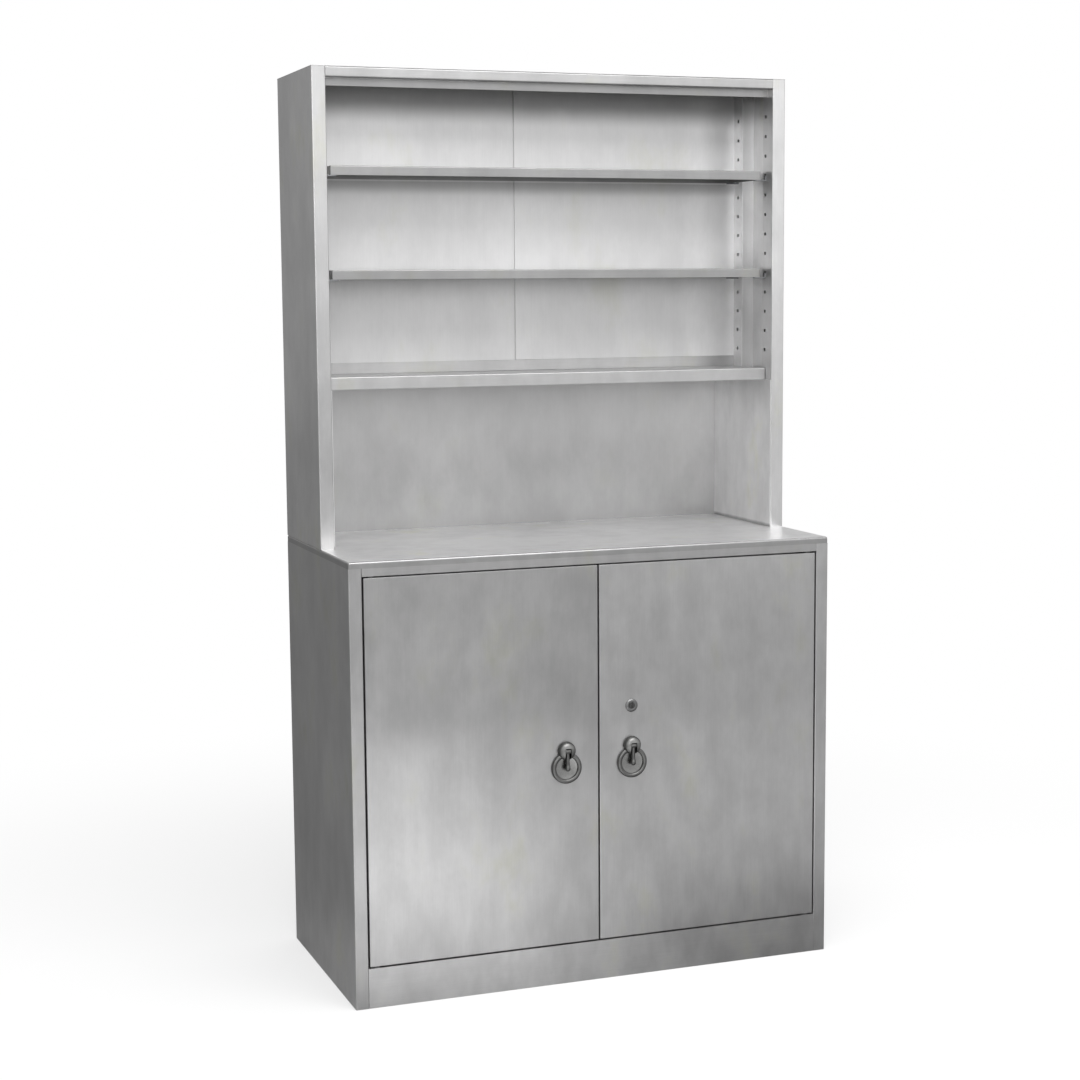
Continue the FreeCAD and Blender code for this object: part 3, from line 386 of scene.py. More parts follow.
@dataclass(frozen=True)
class FoldedSheet:
    """A sheet folded along a line and drawn out straight, the sheet to the right of its line.

    Attributes:
        line: Corners of the fold line, in X and Y for an upright or Y and Z for a rail.
        ends: Where it starts and ends along its axis.
        axis: The axis that it is drawn out along.
        sheet: Thickness.
        bend: Outer radius of a fold.
        slots: A column of slots, if it has one.
        sag: How far a broad face sinks in at its middle.
        step: Largest distance between grid lines.
        broad: A leg of the line that is longer than this may sink.
        arc: Points along a fold, with its ends.
        waves: How slowly the sinking changes across and along, in millimetres per radian.
    """

    line: tuple[tuple[float, float], ...]
    ends: tuple[float, float]
    axis: Axis = Axis.Z
    sheet: float = 1.2
    bend: float = 2.0
    slots: SlotColumn | None = None
    sag: float = 0.0
    step: float = 26.0
    broad: ClassVar[float] = 150.0
    arc: ClassVar[int] = 7
    waves: ClassVar[tuple[float, float]] = (97.0, 143.0)

    def bent_line(self) -> tuple[Array, Array, Array]:
        """Points along the folded line.

        A fold of radius r at a corner is the arc corner - r(1 - sin a) along the leg in
        + r(1 - cos a) along the leg out, a from 0 to 90 degrees. Where the line turns away
        from the sheet, r is smaller by the thickness.

        Returns:
            The points, the way from each into the sheet, and how much each may sink, which is
            sin squared of its place along a broad leg.
        """
        corners = np.array(self.line)
        legs = np.diff(corners, axis=0)
        lengths = np.linalg.norm(legs, axis=1)
        ways = legs / lengths[:, None]
        rights = np.stack([ways[:, 1], -ways[:, 0]], -1)
        turns = ways[:-1, 0] * ways[1:, 1] - ways[:-1, 1] * ways[1:, 0]
        folds = np.where(turns < 0, self.bend, self.bend - self.sheet)
        radii = np.concatenate([[0.0], folds, [0.0]])
        angle = np.linspace(0.0, math.pi / 2, self.arc)[1:-1, None]
        points, inward, swell = [], [], []
        for leg, (way, right) in enumerate(zip(ways, rights)):
            first, last = radii[leg], lengths[leg] - radii[leg + 1]
            along = spaced(first, last, self.step)
            if self.slots:
                shift = self.slots.marks() - corners[leg]
                place = (shift @ way)[np.abs(shift @ right) < ON_LEG]
                place = place[(place > first) & (place < last)]
                along = np.unique(np.round(np.concatenate([along, place]), PLACES))
            points.append(corners[leg] + along[:, None] * way)
            inward.append(np.repeat(right[None], len(along), axis=0))
            reach = 1.0 if lengths[leg] > self.broad else 0.0
            swell.append(reach * np.sin(math.pi * along / lengths[leg]) ** 2)
            if leg + 1 < len(ways):
                radius = radii[leg + 1]
                points.append(corners[leg + 1] - way * radius * (1 - np.sin(angle))
                              + ways[leg + 1] * radius * (1 - np.cos(angle)))
                inward.append(right * np.cos(angle) + rights[leg + 1] * np.sin(angle))
                swell.append(np.zeros(len(angle)))
        return np.concatenate(points), np.concatenate(inward), np.concatenate(swell)

    def stations(self) -> Array:
        """Places of the grid's columns along the axis, with the slots' ends among them.

        Returns:
            The places in order.
        """
        low, high = self.ends
        places = spaced(low, high, self.step)
        if self.slots:
            places = np.concatenate([places, self.slots.levels()])
        return np.unique(np.round(places, PLACES))

    def carried(self, line: Array, stations: Array) -> Array:
        """The line, which may differ from station to station, as points in space.

        Args:
            line: Two coordinates for each point of the line, or for each point and station.
            stations: Places along the axis.

        Returns:
            Rows of X, Y and Z, station by station for each point of the line.
        """
        line = np.broadcast_to(line, (len(line), len(stations), 2))
        along = np.broadcast_to(stations[None, :, None], line.shape[:2] + (1,))
        parts = (line, along) if self.axis is Axis.Z else (along, line)
        return np.concatenate(parts, -1).reshape(-1, 3)

    def surface(self) -> Surface:
        """The closed sheet.

        A point sinks by sag times its swell times sin squared of its place along the axis,
        times a slow ripple between 0.6 and 1.

        Returns:
            The sheet with its walls, slots cut through.
        """
        line, inward, swell = self.bent_line()
        stations = self.stations()
        share = (stations - self.ends[0]) / (self.ends[1] - self.ends[0])
        wave = ripple(line[:, :1] / self.waves[0], stations[None] / self.waves[1])
        depth = self.sag * swell[:, None] * np.sin(math.pi * share)[None] ** 2 * wave
        outer = line[:, None] + inward[:, None] * depth[..., None]
        inner = outer + inward[:, None] * self.sheet
        faces = quads(len(line), len(stations))
        if self.slots:
            faces = faces[~self.slots.covers(line, stations).ravel()]
        return thickened(self.carried(outer, stations), self.carried(inner, stations), faces)


def rounding_steps(radius: float) -> Array:
    """Distances radius(1 - tan a) from a rounded end, a from 45 to 0 degrees in equal steps."""
    return radius * (1 - np.tan(np.linspace(math.pi / 4, 0.0, 4)))


def block_grid(lines: list[Array], opening: tuple[int, int] | None = None
               ) -> tuple[Array, Array]:
    """The outside of a block's grid, each point once.

    The point (i, j, k) lies on line i of the first axis, j of the second and k of the third.

    Args:
        lines: Places of the grid lines along each axis, in order.
        opening: Number of an axis, and -1 or 1 for its low or high end, that is left open.

    Returns:
        The points, and the faces as rows of four point numbers, outwards.
    """
    counts = [len(line) for line in lines]
    sheets, faces = [], []
    for axis in range(3):
        second, third = (axis + 1) % 3, (axis + 2) % 3
        cells = quads(counts[second], counts[third])
        for end in (-1, 1):
            if (axis, end) == opening:
                continue
            grid = np.zeros((counts[second], counts[third], 3), int)
            grid[..., axis] = 0 if end < 0 else counts[axis] - 1
            grid[..., second] = np.arange(counts[second])[:, None]
            grid[..., third] = np.arange(counts[third])[None, :]
            start = sum(len(sheet) for sheet in sheets)
            faces.append((cells if end > 0 else cells[:, ::-1]) + start)
            sheets.append(grid.reshape(-1, 3))
    places = np.concatenate(sheets)
    keys = (places[:, 0] * counts[1] + places[:, 1]) * counts[2] + places[:, 2]
    _, first, numbers = np.unique(keys, return_index=True, return_inverse=True)
    points = np.stack([line[places[first, axis]] for axis, line in enumerate(lines)], -1)
    return points, numbers[np.concatenate(faces)]


def pulled_in(points: Array, low: Array, high: Array) -> tuple[Array, Array]:
    """Points pulled to the nearest point of a smaller block.

    Args:
        points: Rows of X, Y and Z on or outside the smaller block.
        low: Its lowest corner.
        high: Its highest corner.

    Returns:
        The pulled points, and the way from each back to where it was, of length 1.
    """
    core = np.clip(points, low, high)
    way = points - core
    return core, way / np.linalg.norm(way, axis=1, keepdims=True)


def rounded_block(low: Array, high: Array, radius: float) -> Surface:
    """A closed block with rounded edges.

    Each point of the block's grid is pulled to the nearest point of a block smaller by the
    radius and set one radius out from it.

    Args:
        low: Lowest corner.
        high: Highest corner.
        radius: Radius of its edges.

    Returns:
        The block, faces outwards.
    """
    near = rounding_steps(radius)
    lines = [np.unique(np.round(np.concatenate([start + near, end - near]), PLACES))
             for start, end in zip(low, high)]
    points, faces = block_grid(lines)
    core, way = pulled_in(points, low + radius, high - radius)
    return Surface(core + way * radius, (faces,)).outward()


@dataclass(frozen=True)
class Pan:
    """A sheet with its four edges folded one way, its folds and corners rounded.

    Attributes:
        low: Lowest corner of the block it fills.
        high: Highest corner.
        opening: The axis it is open along, and 1 if it is open at the high end, else -1.
        sheet: Thickness.
        radius: Outer radius of folds and corners.
        sag: How far the broad face sinks at its middle.
        step: Largest distance between grid lines.
        waves: How slowly the sinking changes along the face's two edges, in millimetres per
            radian.
    """

    low: Array
    high: Array
    opening: tuple[Axis, int]
    sheet: float = 1.0
    radius: float = 1.8
    sag: float = 0.0
    step: float = 26.0
    waves: ClassVar[tuple[float, float]] = (83.0, 131.0)

    def lines(self, axis: int) -> Array:
        """Places of the grid lines along one edge of the block.

        Near a rounded end they turn the rounding by equal steps, and an open end has none.

        Args:
            axis: Number of the axis.

        Returns:
            The places in order.
        """
        near = rounding_steps(self.radius)
        low, high = self.low[axis], self.high[axis]
        spans = [near, near]
        if axis == self.opening[0].value:
            spans[0 if self.opening[1] < 0 else 1] = np.zeros(1)
        start, end = low + spans[0][-1], high - spans[1][-1]
        middle = spaced(start, end, self.step)
        places = np.concatenate([low + spans[0], middle, high - spans[1]])
        return np.unique(np.round(places, PLACES))

    def surface(self) -> Surface:
        """The closed pan.

        Each point of the block's grid is pulled to the nearest point of a block smaller by
        the radius and set one radius out from it, or a radius less the thickness for the
        inner layer. The broad face sinks by sag times sin squared of the place along each of
        its edges, times a slow ripple between 0.6 and 1.

        Returns:
            The pan, faces outwards.
        """
        open_axis, open_end = self.opening[0].value, self.opening[1]
        lines = [self.lines(axis) for axis in range(3)]
        points, faces = block_grid(lines, (open_axis, open_end))
        floor, ceiling = self.low + self.radius, self.high - self.radius
        if open_end < 0:
            floor[open_axis] = self.low[open_axis]
        else:
            ceiling[open_axis] = self.high[open_axis]
        core, way = pulled_in(points, floor, ceiling)
        share = (points - self.low) / (self.high - self.low)
        across = [axis for axis in range(3) if axis != open_axis]
        window = np.prod(np.sin(math.pi * share[:, across]) ** 2, axis=1)
        wave = ripple(*(points[:, axis] / slow for axis, slow in zip(across, self.waves)))
        depth = self.sag * window * wave * np.abs(way[:, open_axis])
        core = core - way * depth[:, None]
        outer = core + way * self.radius
        inner = core + way * (self.radius - self.sheet)
        return thickened(outer, inner, faces)


# Finishes.


def shade(tone: float, tint: tuple[float, float, float] = (1.0, 1.0, 1.0)) -> tuple[float, ...]:
    """A grey of a brightness, tinted, as a colour for a node."""
    return (*(tone * part for part in tint), 1.0)


class Graph:
    """A node tree with short calls that add and join its nodes."""

    def __init__(self, holder: bpy.types.ID) -> None:
        """Start with an empty tree.

        Args:
            holder: The material or the world whose tree it is.
        """
        holder.use_nodes = True
        self.tree = holder.node_tree
        self.tree.nodes.clear()

    def node(self, kind: str, inputs: dict[str | int, Any] | None = None,
             settings: dict[str, Any] | None = None) -> bpy.types.Node:
        """Add a node.

        Args:
            kind: Its type.
            inputs: Values for its sockets, or the sockets that feed them.
            settings: Properties of the node.

        Returns:
            The new node.
        """
        made = self.tree.nodes.new(kind)
        for name, value in (settings or {}).items():
            setattr(made, name, value)
        for name, value in (inputs or {}).items():
            if isinstance(value, Socket):
                self.tree.links.new(value, made.inputs[name])
            else:
                made.inputs[name].default_value = value
        return made

    def math(self, operation: str, *values: Any) -> Socket:
        """The result of a sum worked out for each point of the surface."""
        return self.node("ShaderNodeMath", dict(enumerate(values)),
                         {"operation": operation}).outputs[0]

    def vector(self, operation: str, inputs: dict[str | int, Any]) -> Any:
        """The outputs of a sum on vectors: a vector, then a number."""
        return self.node("ShaderNodeVectorMath", inputs, {"operation": operation}).outputs

    def parts(self, vector: Socket) -> Any:
        """The three numbers of a vector or colour."""
        return self.node("ShaderNodeSeparateXYZ", {0: vector}).outputs

    def noise(self, place: Socket, scale: float, detail: float = 3.0,
              roughness: float = 0.5) -> Socket:
        """Soft cloudy noise between 0 and 1.

        Args:
            place: Coordinates.
            scale: Size of the pattern: larger is finer.
            detail: How many finer layers it has.
            roughness: Strength of the finer layers.

        Returns:
            The noise.
        """
        return self.node("ShaderNodeTexNoise", {
            "Vector": place, "Scale": scale, "Detail": detail, "Roughness": roughness,
        }).outputs["Fac"]

    def cells(self, place: Socket, scale: float) -> Socket:
        """A number between 0 and 1 for each of many small cells.

        Args:
            place: Coordinates.
            scale: Larger gives smaller cells.

        Returns:
            The number.
        """
        cells = self.node("ShaderNodeTexVoronoi", {"Vector": place, "Scale": scale},
                          {"feature": "F1"})
        return self.parts(cells.outputs["Color"])[0]

    def between(self, value: Socket, span: tuple[float, float],
                results: tuple[float, float]) -> Socket:
        """A value that goes smoothly through the results while another goes through the span.

        Args:
            value: What changes.
            span: Where it starts and ends to count.
            results: The result at the start and at the end.

        Returns:
            The result.
        """
        return self.node("ShaderNodeMapRange", {
            "Value": value, "From Min": span[0], "From Max": span[1],
            "To Min": results[0], "To Max": results[1],
        }, {"interpolation_type": "SMOOTHSTEP"}).outputs[0]

    def spread(self, noise: Socket, low: float, high: float) -> Socket:
        """A noise's middle range, where nearly all of it lies, stretched from low to high."""
        return self.between(noise, (0.3, 0.7), (low, high))

    def blend(self, share: Socket, first: tuple[float, ...], second: tuple[float, ...]) -> Socket:
        """Two colours mixed by a share."""
        return self.node("ShaderNodeMix", {0: share, 6: first, 7: second},
                         {"data_type": "RGBA"}).outputs[2]

    def scaled(self, colour: Socket, factor: Socket) -> Socket:
        """A colour made lighter or darker by a factor."""
        return self.vector("SCALE", {0: colour, "Scale": factor})[0]

    def own_place(self) -> Socket:
        """Object coordinates."""
        return self.node("ShaderNodeTexCoord").outputs["Object"]

    def facing(self) -> Any:
        """The way that the surface faces, as its parts along X, Y and Z."""
        return self.parts(self.node("ShaderNodeTexCoord").outputs["Normal"])

    def stretched(self, place: Socket, scale: tuple[float, float, float]) -> Socket:
        """Coordinates scaled by a different factor along each axis."""
        return self.node("ShaderNodeMapping", {"Vector": place, "Scale": scale},
                         {"vector_type": "POINT"}).outputs[0]

    def bump(self, height: Socket, depth: float, under: Socket | None = None) -> Socket:
        """Normals bent by a height pattern that is depth metres deep, over another bump.

        Args:
            height: The pattern.
            depth: Its depth in metres.
            under: Normals that it bends further.

        Returns:
            The normals.
        """
        inputs = {"Height": height, "Distance": depth, "Strength": 1.0}
        if under is not None:
            inputs["Normal"] = under
        return self.node("ShaderNodeBump", inputs).outputs[0]

    def white(self, kind: str, strength: Any) -> Socket:
        """White light of a strength, from a background or an emission."""
        return self.node(kind, {"Color": shade(1.0), "Strength": strength}).outputs[0]

    def either(self, share: Socket, first: Socket, second: Socket) -> Socket:
        """Two shaders mixed: the first where the share is 0, the second where it is 1."""
        return self.node("ShaderNodeMixShader", {0: share, 1: first, 2: second}).outputs[0]


@dataclass(frozen=True)
class Finish:
    """What a surface is made of.

    Attributes:
        slot: The record's material slot that it stands for; not used.
        metal: How much of it shines as metal.
    """

    slot: str
    metal: float = 1.0

    def pattern(self, graph: Graph) -> tuple[Socket, Socket, Socket]:
        """Colour, roughness and normal of the surface. Each finish has its own.

        Args:
            graph: The material's nodes.

        Returns:
            Colour, roughness and normal.
        """
        raise NotImplementedError

    def material(self, name: str) -> bpy.types.Material:
        """Make the material.

        Args:
            name: Its name.

        Returns:
            A material with its node tree built.
        """
        made = bpy.data.materials.new(name)
        graph = Graph(made)
        colour, rough, normal = self.pattern(graph)
        shader = graph.node("ShaderNodeBsdfPrincipled", {
            "Base Color": colour, "Roughness": rough, "Normal": normal, "Metallic": self.metal,
        })
        graph.node("ShaderNodeOutputMaterial", {"Surface": shader.outputs[0]})
        return made


@dataclass(frozen=True)
class Film:
    """A band of painted shade on the steel, or of painted light where it is brighter.

    Attributes:
        start: Where it sets in, in metres.
        end: Where it is full, and past which it stays so.
        share: Share of its brightness that the steel has there.
        axis: The axis that it changes along.
    """

    start: float
    end: float
    share: float
    axis: Axis = Axis.Z


@dataclass(frozen=True)
class SatinSteel(Finish):
    """Brushed stainless sheet, dulled by use: fine grain, slow clouds, faint stains, and painted
    light and shade.

    Attributes:
        tone: Brightness of the bare steel.
        grain: The way it was brushed.
        polish: Roughness of the surface.
        wear: Strength of its clouds, streaks and stains.
        raw: Share of its brightness that faces turned down or back keep: painted shade.
        edge: Share of its brightness that upright faces keep: painted shade, as at a worktop's
            edge.
        films: Bands of painted light and shade over part of it.
        ragged: How far a painted band's rim wanders, as a share of its width.
        uneven: How much the roughness changes where the wear is full.
    """

    slot: str = "stainless"
    metal: float = 0.9
    tone: float = 0.55
    grain: Grain = Grain.UPRIGHT
    polish: float = 0.4
    wear: float = 1.0
    raw: float = 1.0
    edge: float = 1.0
    films: tuple[Film, ...] = ()
    ragged: ClassVar[float] = 0.3
    uneven: ClassVar[float] = 0.015

    def pattern(self, graph: Graph) -> tuple[Socket, Socket, Socket]:
        """Colour, roughness and bump from grain, clouds, stains, painted light and shade, and
        scuffs near the floor.

        Args:
            graph: The material's nodes.

        Returns:
            Colour, roughness and normal.
        """
        place = graph.own_place()
        along = graph.stretched(place, self.grain.value)
        hairs = graph.noise(along, scale=900.0, detail=2.0)
        streaks = graph.noise(along, scale=95.0, detail=4.0, roughness=0.6)
        upright = graph.stretched(place, (1.0, 1.0, 0.55))
        mottle = graph.noise(upright, scale=17.0, detail=6.0, roughness=0.62)
        clouds = graph.noise(place, scale=2.6, detail=1.0, roughness=0.35)
        drips = graph.stretched(place, (1.3, 1.3, 0.8))
        spots = graph.noise(drips, scale=6.5, detail=5.0, roughness=0.65)
        stain = graph.between(spots, (0.54, 0.72), (0.0, 1.0))
        colour = graph.blend(stain, shade(self.tone, (1.0, 0.997, 1.0)),
                             shade(self.tone, (0.95, 0.95, 0.95 - 0.07 * self.wear)))
        light = graph.spread(clouds, 0.95, 1.05)
        for pattern, depth in ((mottle, 0.06), (spots, 0.05), (streaks, 0.008), (hairs, 0.02)):
            swing = depth * self.wear
            light = graph.math("MULTIPLY", light, graph.spread(pattern, 1.0 - swing, 1.0 + swing))
        parts = graph.parts(place)
        # Painted light and shade, multiplied into the brightness.
        for factor in self.cover(graph, parts, mottle):
            light = graph.math("MULTIPLY", light, factor)
        scuff = graph.between(parts[2], (0.02, 0.22), (0.05, 0.0))
        swing = self.uneven * self.wear
        rough = graph.spread(mottle, self.polish - swing, self.polish + swing)
        rough = graph.math("MULTIPLY_ADD", stain, swing * 2, rough)
        rough = graph.math("MULTIPLY_ADD", streaks, swing * 0.3, rough)
        dents = graph.bump(clouds, depth=0.0007)
        return (graph.scaled(colour, light), graph.math("ADD", rough, scuff),
                graph.bump(hairs, depth=0.000012, under=dents))

    def cover(self, graph: Graph, parts: Any, mottle: Socket) -> list[Socket]:
        """The painted light and shade that dims or brightens parts of the sheet.

        Args:
            graph: The material's nodes.
            parts: Object coordinates along X, Y and Z.
            mottle: The pattern that makes a painted band's rim ragged.

        Returns:
            Factors for the painted shade of faces turned down or back, of upright faces, and for
            each painted band.
        """
        factors = []
        # Painted shade on faces turned down or back.
        if self.raw < 1.0:
            facing = graph.facing()
            down = graph.math("MULTIPLY", facing[2], -1.0)
            away = graph.math("MAXIMUM", facing[1], down)
            factors.append(graph.between(away, (0.3, 0.9), (1.0, self.raw)))
        # Painted shade on upright faces.
        if self.edge < 1.0:
            level = graph.math("ABSOLUTE", graph.facing()[2])
            factors.append(graph.between(level, (0.9, 1.0), (self.edge, 1.0)))
        # Painted bands of light and shade, each along its axis.
        for painted_band in self.films:
            rim = graph.math("MULTIPLY_ADD", mottle, abs(painted_band.end - painted_band.start) * self.ragged,
                             parts[painted_band.axis.value])
            factors.append(graph.between(rim, (painted_band.start, painted_band.end), (1.0, painted_band.share)))
        return factors


@dataclass(frozen=True)
class CastChrome(Finish):
    """Chromed casting: painted light on its front, painted shade on its flanks, which are also
    duller.

    Attributes:
        tone: Brightness of the front, painted light.
        flank: Brightness of the flanks, painted shade.
        polish: Roughness of the front.
    """

    slot: str = "cast_metal"
    tone: float = 0.32
    flank: float = 0.1
    polish: float = 0.24

    def pattern(self, graph: Graph) -> tuple[Socket, Socket, Socket]:
        """The colour goes from painted shade on the flanks to painted light on the front as the
        surface faces forwards.

        Args:
            graph: The material's nodes.

        Returns:
            Colour, roughness and normal.
        """
        place = graph.own_place()
        # Painted light and shade: faces turned to the front are lighter, the flanks darker,
        # patched by cloudy wear.
        forward = graph.math("MULTIPLY", graph.facing()[1], -1.0)
        front_lit = graph.between(forward, (0.35, 0.97), (0.0, 1.0))
        grit = graph.noise(place, scale=650.0, detail=4.0, roughness=0.6)
        cloud = graph.noise(place, scale=70.0)
        front_light_and_wear = graph.math("MULTIPLY", front_lit, graph.between(cloud, (0.25, 0.7), (0.75, 1.0)))
        colour = graph.blend(front_light_and_wear, shade(self.flank, (1.0, 1.0, 0.97)),
                             shade(self.tone, (1.0, 1.0, 0.985)))
        rough = graph.between(front_light_and_wear, (0.0, 1.0), (self.polish + 0.16, self.polish))
        return colour, rough, graph.bump(grit, depth=0.00003)


@dataclass(frozen=True)
class BrightChrome(Finish):
    """Polished chrome with hairline scratches and a breath of haze.

    Attributes:
        tone: Brightness.
        polish: Roughness.
    """

    slot: str = "lock_chrome"
    tone: float = 0.62
    polish: float = 0.16

    def pattern(self, graph: Graph) -> tuple[Socket, Socket, Socket]:
        """Haze in the roughness and scratches in the bump.

        Args:
            graph: The material's nodes.

        Returns:
            Colour, roughness and normal.
        """
        place = graph.own_place()
        haze = graph.noise(place, scale=120.0, detail=4.0, roughness=0.6)
        scratch = graph.noise(graph.stretched(place, (1.0, 1.0, 0.05)), scale=2200.0, detail=2.0)
        colour = graph.blend(haze, shade(self.tone, (0.9, 0.91, 0.92)), shade(self.tone))
        rough = graph.spread(haze, self.polish, self.polish + 0.1)
        return colour, rough, graph.bump(scratch, depth=0.000006)


@dataclass(frozen=True)
class ZincPlate(Finish):
    """Zinc-plated steel: bluish grey with a crystalline bloom.

    Attributes:
        tone: Brightness.
        polish: Roughness.
    """

    slot: str = "zinc"
    tone: float = 0.5
    polish: float = 0.42

    def pattern(self, graph: Graph) -> tuple[Socket, Socket, Socket]:
        """Crystals shift the tone from grain to grain, and a bloom dulls it in patches.

        Args:
            graph: The material's nodes.

        Returns:
            Colour, roughness and normal.
        """
        place = graph.own_place()
        fleck = graph.cells(place, scale=420.0)
        bloom = graph.noise(place, scale=38.0, detail=4.0, roughness=0.6)
        colour = graph.blend(fleck, shade(self.tone, (0.9, 0.93, 0.97)),
                             shade(self.tone, (1.0, 1.01, 1.03)))
        rough = graph.spread(bloom, self.polish - 0.06, self.polish + 0.1)
        return (graph.scaled(colour, graph.spread(bloom, 0.92, 1.06)), rough,
                graph.bump(fleck, depth=0.00001))


@dataclass(frozen=True)
class PlainSteel(Finish):
    """Bright drawn steel, marked along its length.

    Attributes:
        tone: Brightness.
    """

    slot: str = "pin_steel"
    tone: float = 0.5

    def pattern(self, graph: Graph) -> tuple[Socket, Socket, Socket]:
        """Draw marks and a faint oily tint.

        Args:
            graph: The material's nodes.

        Returns:
            Colour, roughness and normal.
        """
        place = graph.own_place()
        marks = graph.noise(graph.stretched(place, (1.0, 1.0, 0.06)), scale=1500.0)
        tint = graph.noise(place, scale=90.0)
        colour = graph.blend(tint, shade(self.tone, (0.86, 0.85, 0.8)), shade(self.tone))
        return colour, graph.spread(marks, 0.24, 0.38), graph.bump(marks, depth=0.000008)


@dataclass(frozen=True)
class Moulded(Finish):
    """Moulded nylon or rubber, with a fine spark texture and handling marks.

    Attributes:
        colour: Colour of the material.
        polish: Roughness.
    """

    slot: str = "nylon"
    metal: float = 0.0
    colour: tuple[float, float, float] = (0.72, 0.72, 0.68)
    polish: float = 0.45

    def pattern(self, graph: Graph) -> tuple[Socket, Socket, Socket]:
        """Marks darken the colour, and the spark texture is a fine bump.

        Args:
            graph: The material's nodes.

        Returns:
            Colour, roughness and normal.
        """
        place = graph.own_place()
        spark = graph.noise(place, scale=1800.0, detail=2.0)
        handled = graph.noise(place, scale=160.0, detail=4.0, roughness=0.6)
        plain = graph.blend(spark, shade(1.0, self.colour), shade(0.94, self.colour))
        marks = graph.between(handled, (0.35, 0.75), (1.0, 0.84))
        rough = graph.spread(spark, self.polish, self.polish + 0.12)
        return graph.scaled(plain, marks), rough, graph.bump(spark, depth=0.00002)


@dataclass(frozen=True)
class ChipBoard(Finish):
    """Raw particle board: pale and dark chips pressed together."""

    slot: str = "core_board"
    metal: float = 0.0

    def pattern(self, graph: Graph) -> tuple[Socket, Socket, Socket]:
        """Each chip is a cell with its own shade of wood.

        Args:
            graph: The material's nodes.

        Returns:
            Colour, roughness and normal.
        """
        place = graph.stretched(graph.own_place(), (1.0, 1.7, 1.0))
        chip = graph.cells(place, scale=260.0)
        colour = graph.blend(chip, (0.30, 0.19, 0.10, 1.0), (0.62, 0.47, 0.31, 1.0))
        rough = graph.between(chip, (0.0, 1.0), (0.75, 0.92))
        return colour, rough, graph.bump(chip, depth=0.0001)


# Finishes of this cabinet. The stainless is one steel whose tone differs from piece to piece as
# painted light and shade. The doors' upper edge has painted shade under the worktop.
UPPER_EDGE_SHADE = Film(0.8276, 0.8284, 0.5)
# Painted shade: each door face is darker above about half its height, the left one more.
LEFT_DOOR_FACE = SatinSteel(tone=0.54, polish=0.294,
                            films=(Film(0.495, 0.565, 0.85), UPPER_EDGE_SHADE))
RIGHT_DOOR_FACE = SatinSteel(tone=0.595, polish=0.294,
                             films=(Film(0.485, 0.55, 0.92), UPPER_EDGE_SHADE))
# Painted light and shade across X: darker from just inside the left outer face, lighter again from
# x 0.47 m at the right.
BASE_UPRIGHT = SatinSteel(tone=0.54, polish=0.31,
                          films=(Film(-0.4985, -0.497, 0.845, Axis.X),
                                 Film(0.47, 0.4735, 1.24, Axis.X)))
BASE_LEVEL = SatinSteel(tone=0.47, grain=Grain.LEVEL, polish=0.31)
PLINTH_LEVEL = SatinSteel(tone=0.585, grain=Grain.LEVEL, polish=0.31)
# Painted light and shade across X, as on the base, and painted light below 0.93 m.
HUTCH_UPRIGHT = SatinSteel(tone=0.6, polish=0.31,
                           films=(Film(-0.4985, -0.497, 0.86, Axis.X),
                                  Film(0.4725, 0.474, 1.163, Axis.X),
                                  Film(1.1, 0.93, 1.15)))
# Painted shade under the roof, under the upper shelf and below 1.33 m, and painted light at the
# right end.
BACK_UPRIGHT = SatinSteel(tone=0.77, polish=0.42, metal=0.58, wear=0.6,
                          films=(Film(1.698, 1.748, 0.41), Film(1.46, 1.33, 0.86),
                                 Film(1.552, 1.575, 0.7), Film(1.578, 1.582, 1.43),
                                 Film(0.34, 0.435, 1.28, Axis.X)))
# Painted shade darkening the bay's back towards its foot, and painted light at its right end.
BAY_UPRIGHT = SatinSteel(tone=0.54, polish=0.36, metal=0.8, wear=0.6,
                         films=(Film(1.12, 0.88, 0.62), Film(0.38, 0.47, 1.14, Axis.X)))
# Painted shade at the foot of the bay walls, below 0.863 m.
WALL_UPRIGHT = SatinSteel(tone=0.82, polish=0.4, metal=0.8, films=(Film(0.87, 0.863, 0.5),))
# Painted shade under the roof and below 1.4 m.
POST_UPRIGHT = SatinSteel(tone=0.9, polish=0.42, metal=0.6, wear=0.6,
                          films=(Film(1.695, 1.745, 0.4), Film(1.46, 1.4, 0.72)))
# Painted shade on undersides, and on the lip set back under the rail.
HUTCH_LEVEL = SatinSteel(tone=0.45, grain=Grain.LEVEL, polish=0.32, raw=0.9,
                         films=(Film(1.7645, 1.7635, 0.74),))
# Painted shade: shelf undersides and back faces nearly black.
SHELF_LEVEL = SatinSteel(tone=0.33, grain=Grain.LEVEL, polish=0.36, metal=0.8, raw=0.08)
DECK_LEVEL = SatinSteel(tone=0.5, grain=Grain.LEVEL, polish=0.36, metal=0.8)
# Painted shade on the worktop's upright edges, in place of their highlight.
TOP_LEVEL = SatinSteel(tone=0.95, grain=Grain.LEVEL, polish=0.31, metal=0.86, edge=0.4)
# Painted light and shade: the pull's parts are one chrome toned apart, the bead and the drop
# darkened for the shade round them, the dish lighter.
BOSS = CastChrome(tone=0.27, flank=0.075, polish=0.34)
DISH = CastChrome(tone=0.4, flank=0.12)
BEAD = CastChrome(tone=0.18, flank=0.09, polish=0.32)
DROP = CastChrome(tone=0.16, flank=0.06, polish=0.3)
# Painted shade: the lock's chrome is toned dark so that it reads dim, the plug darker still.
COLLAR = BrightChrome(tone=0.22, polish=0.36)
PLUG = BrightChrome(tone=0.12, polish=0.3)
ZINC = ZincPlate()
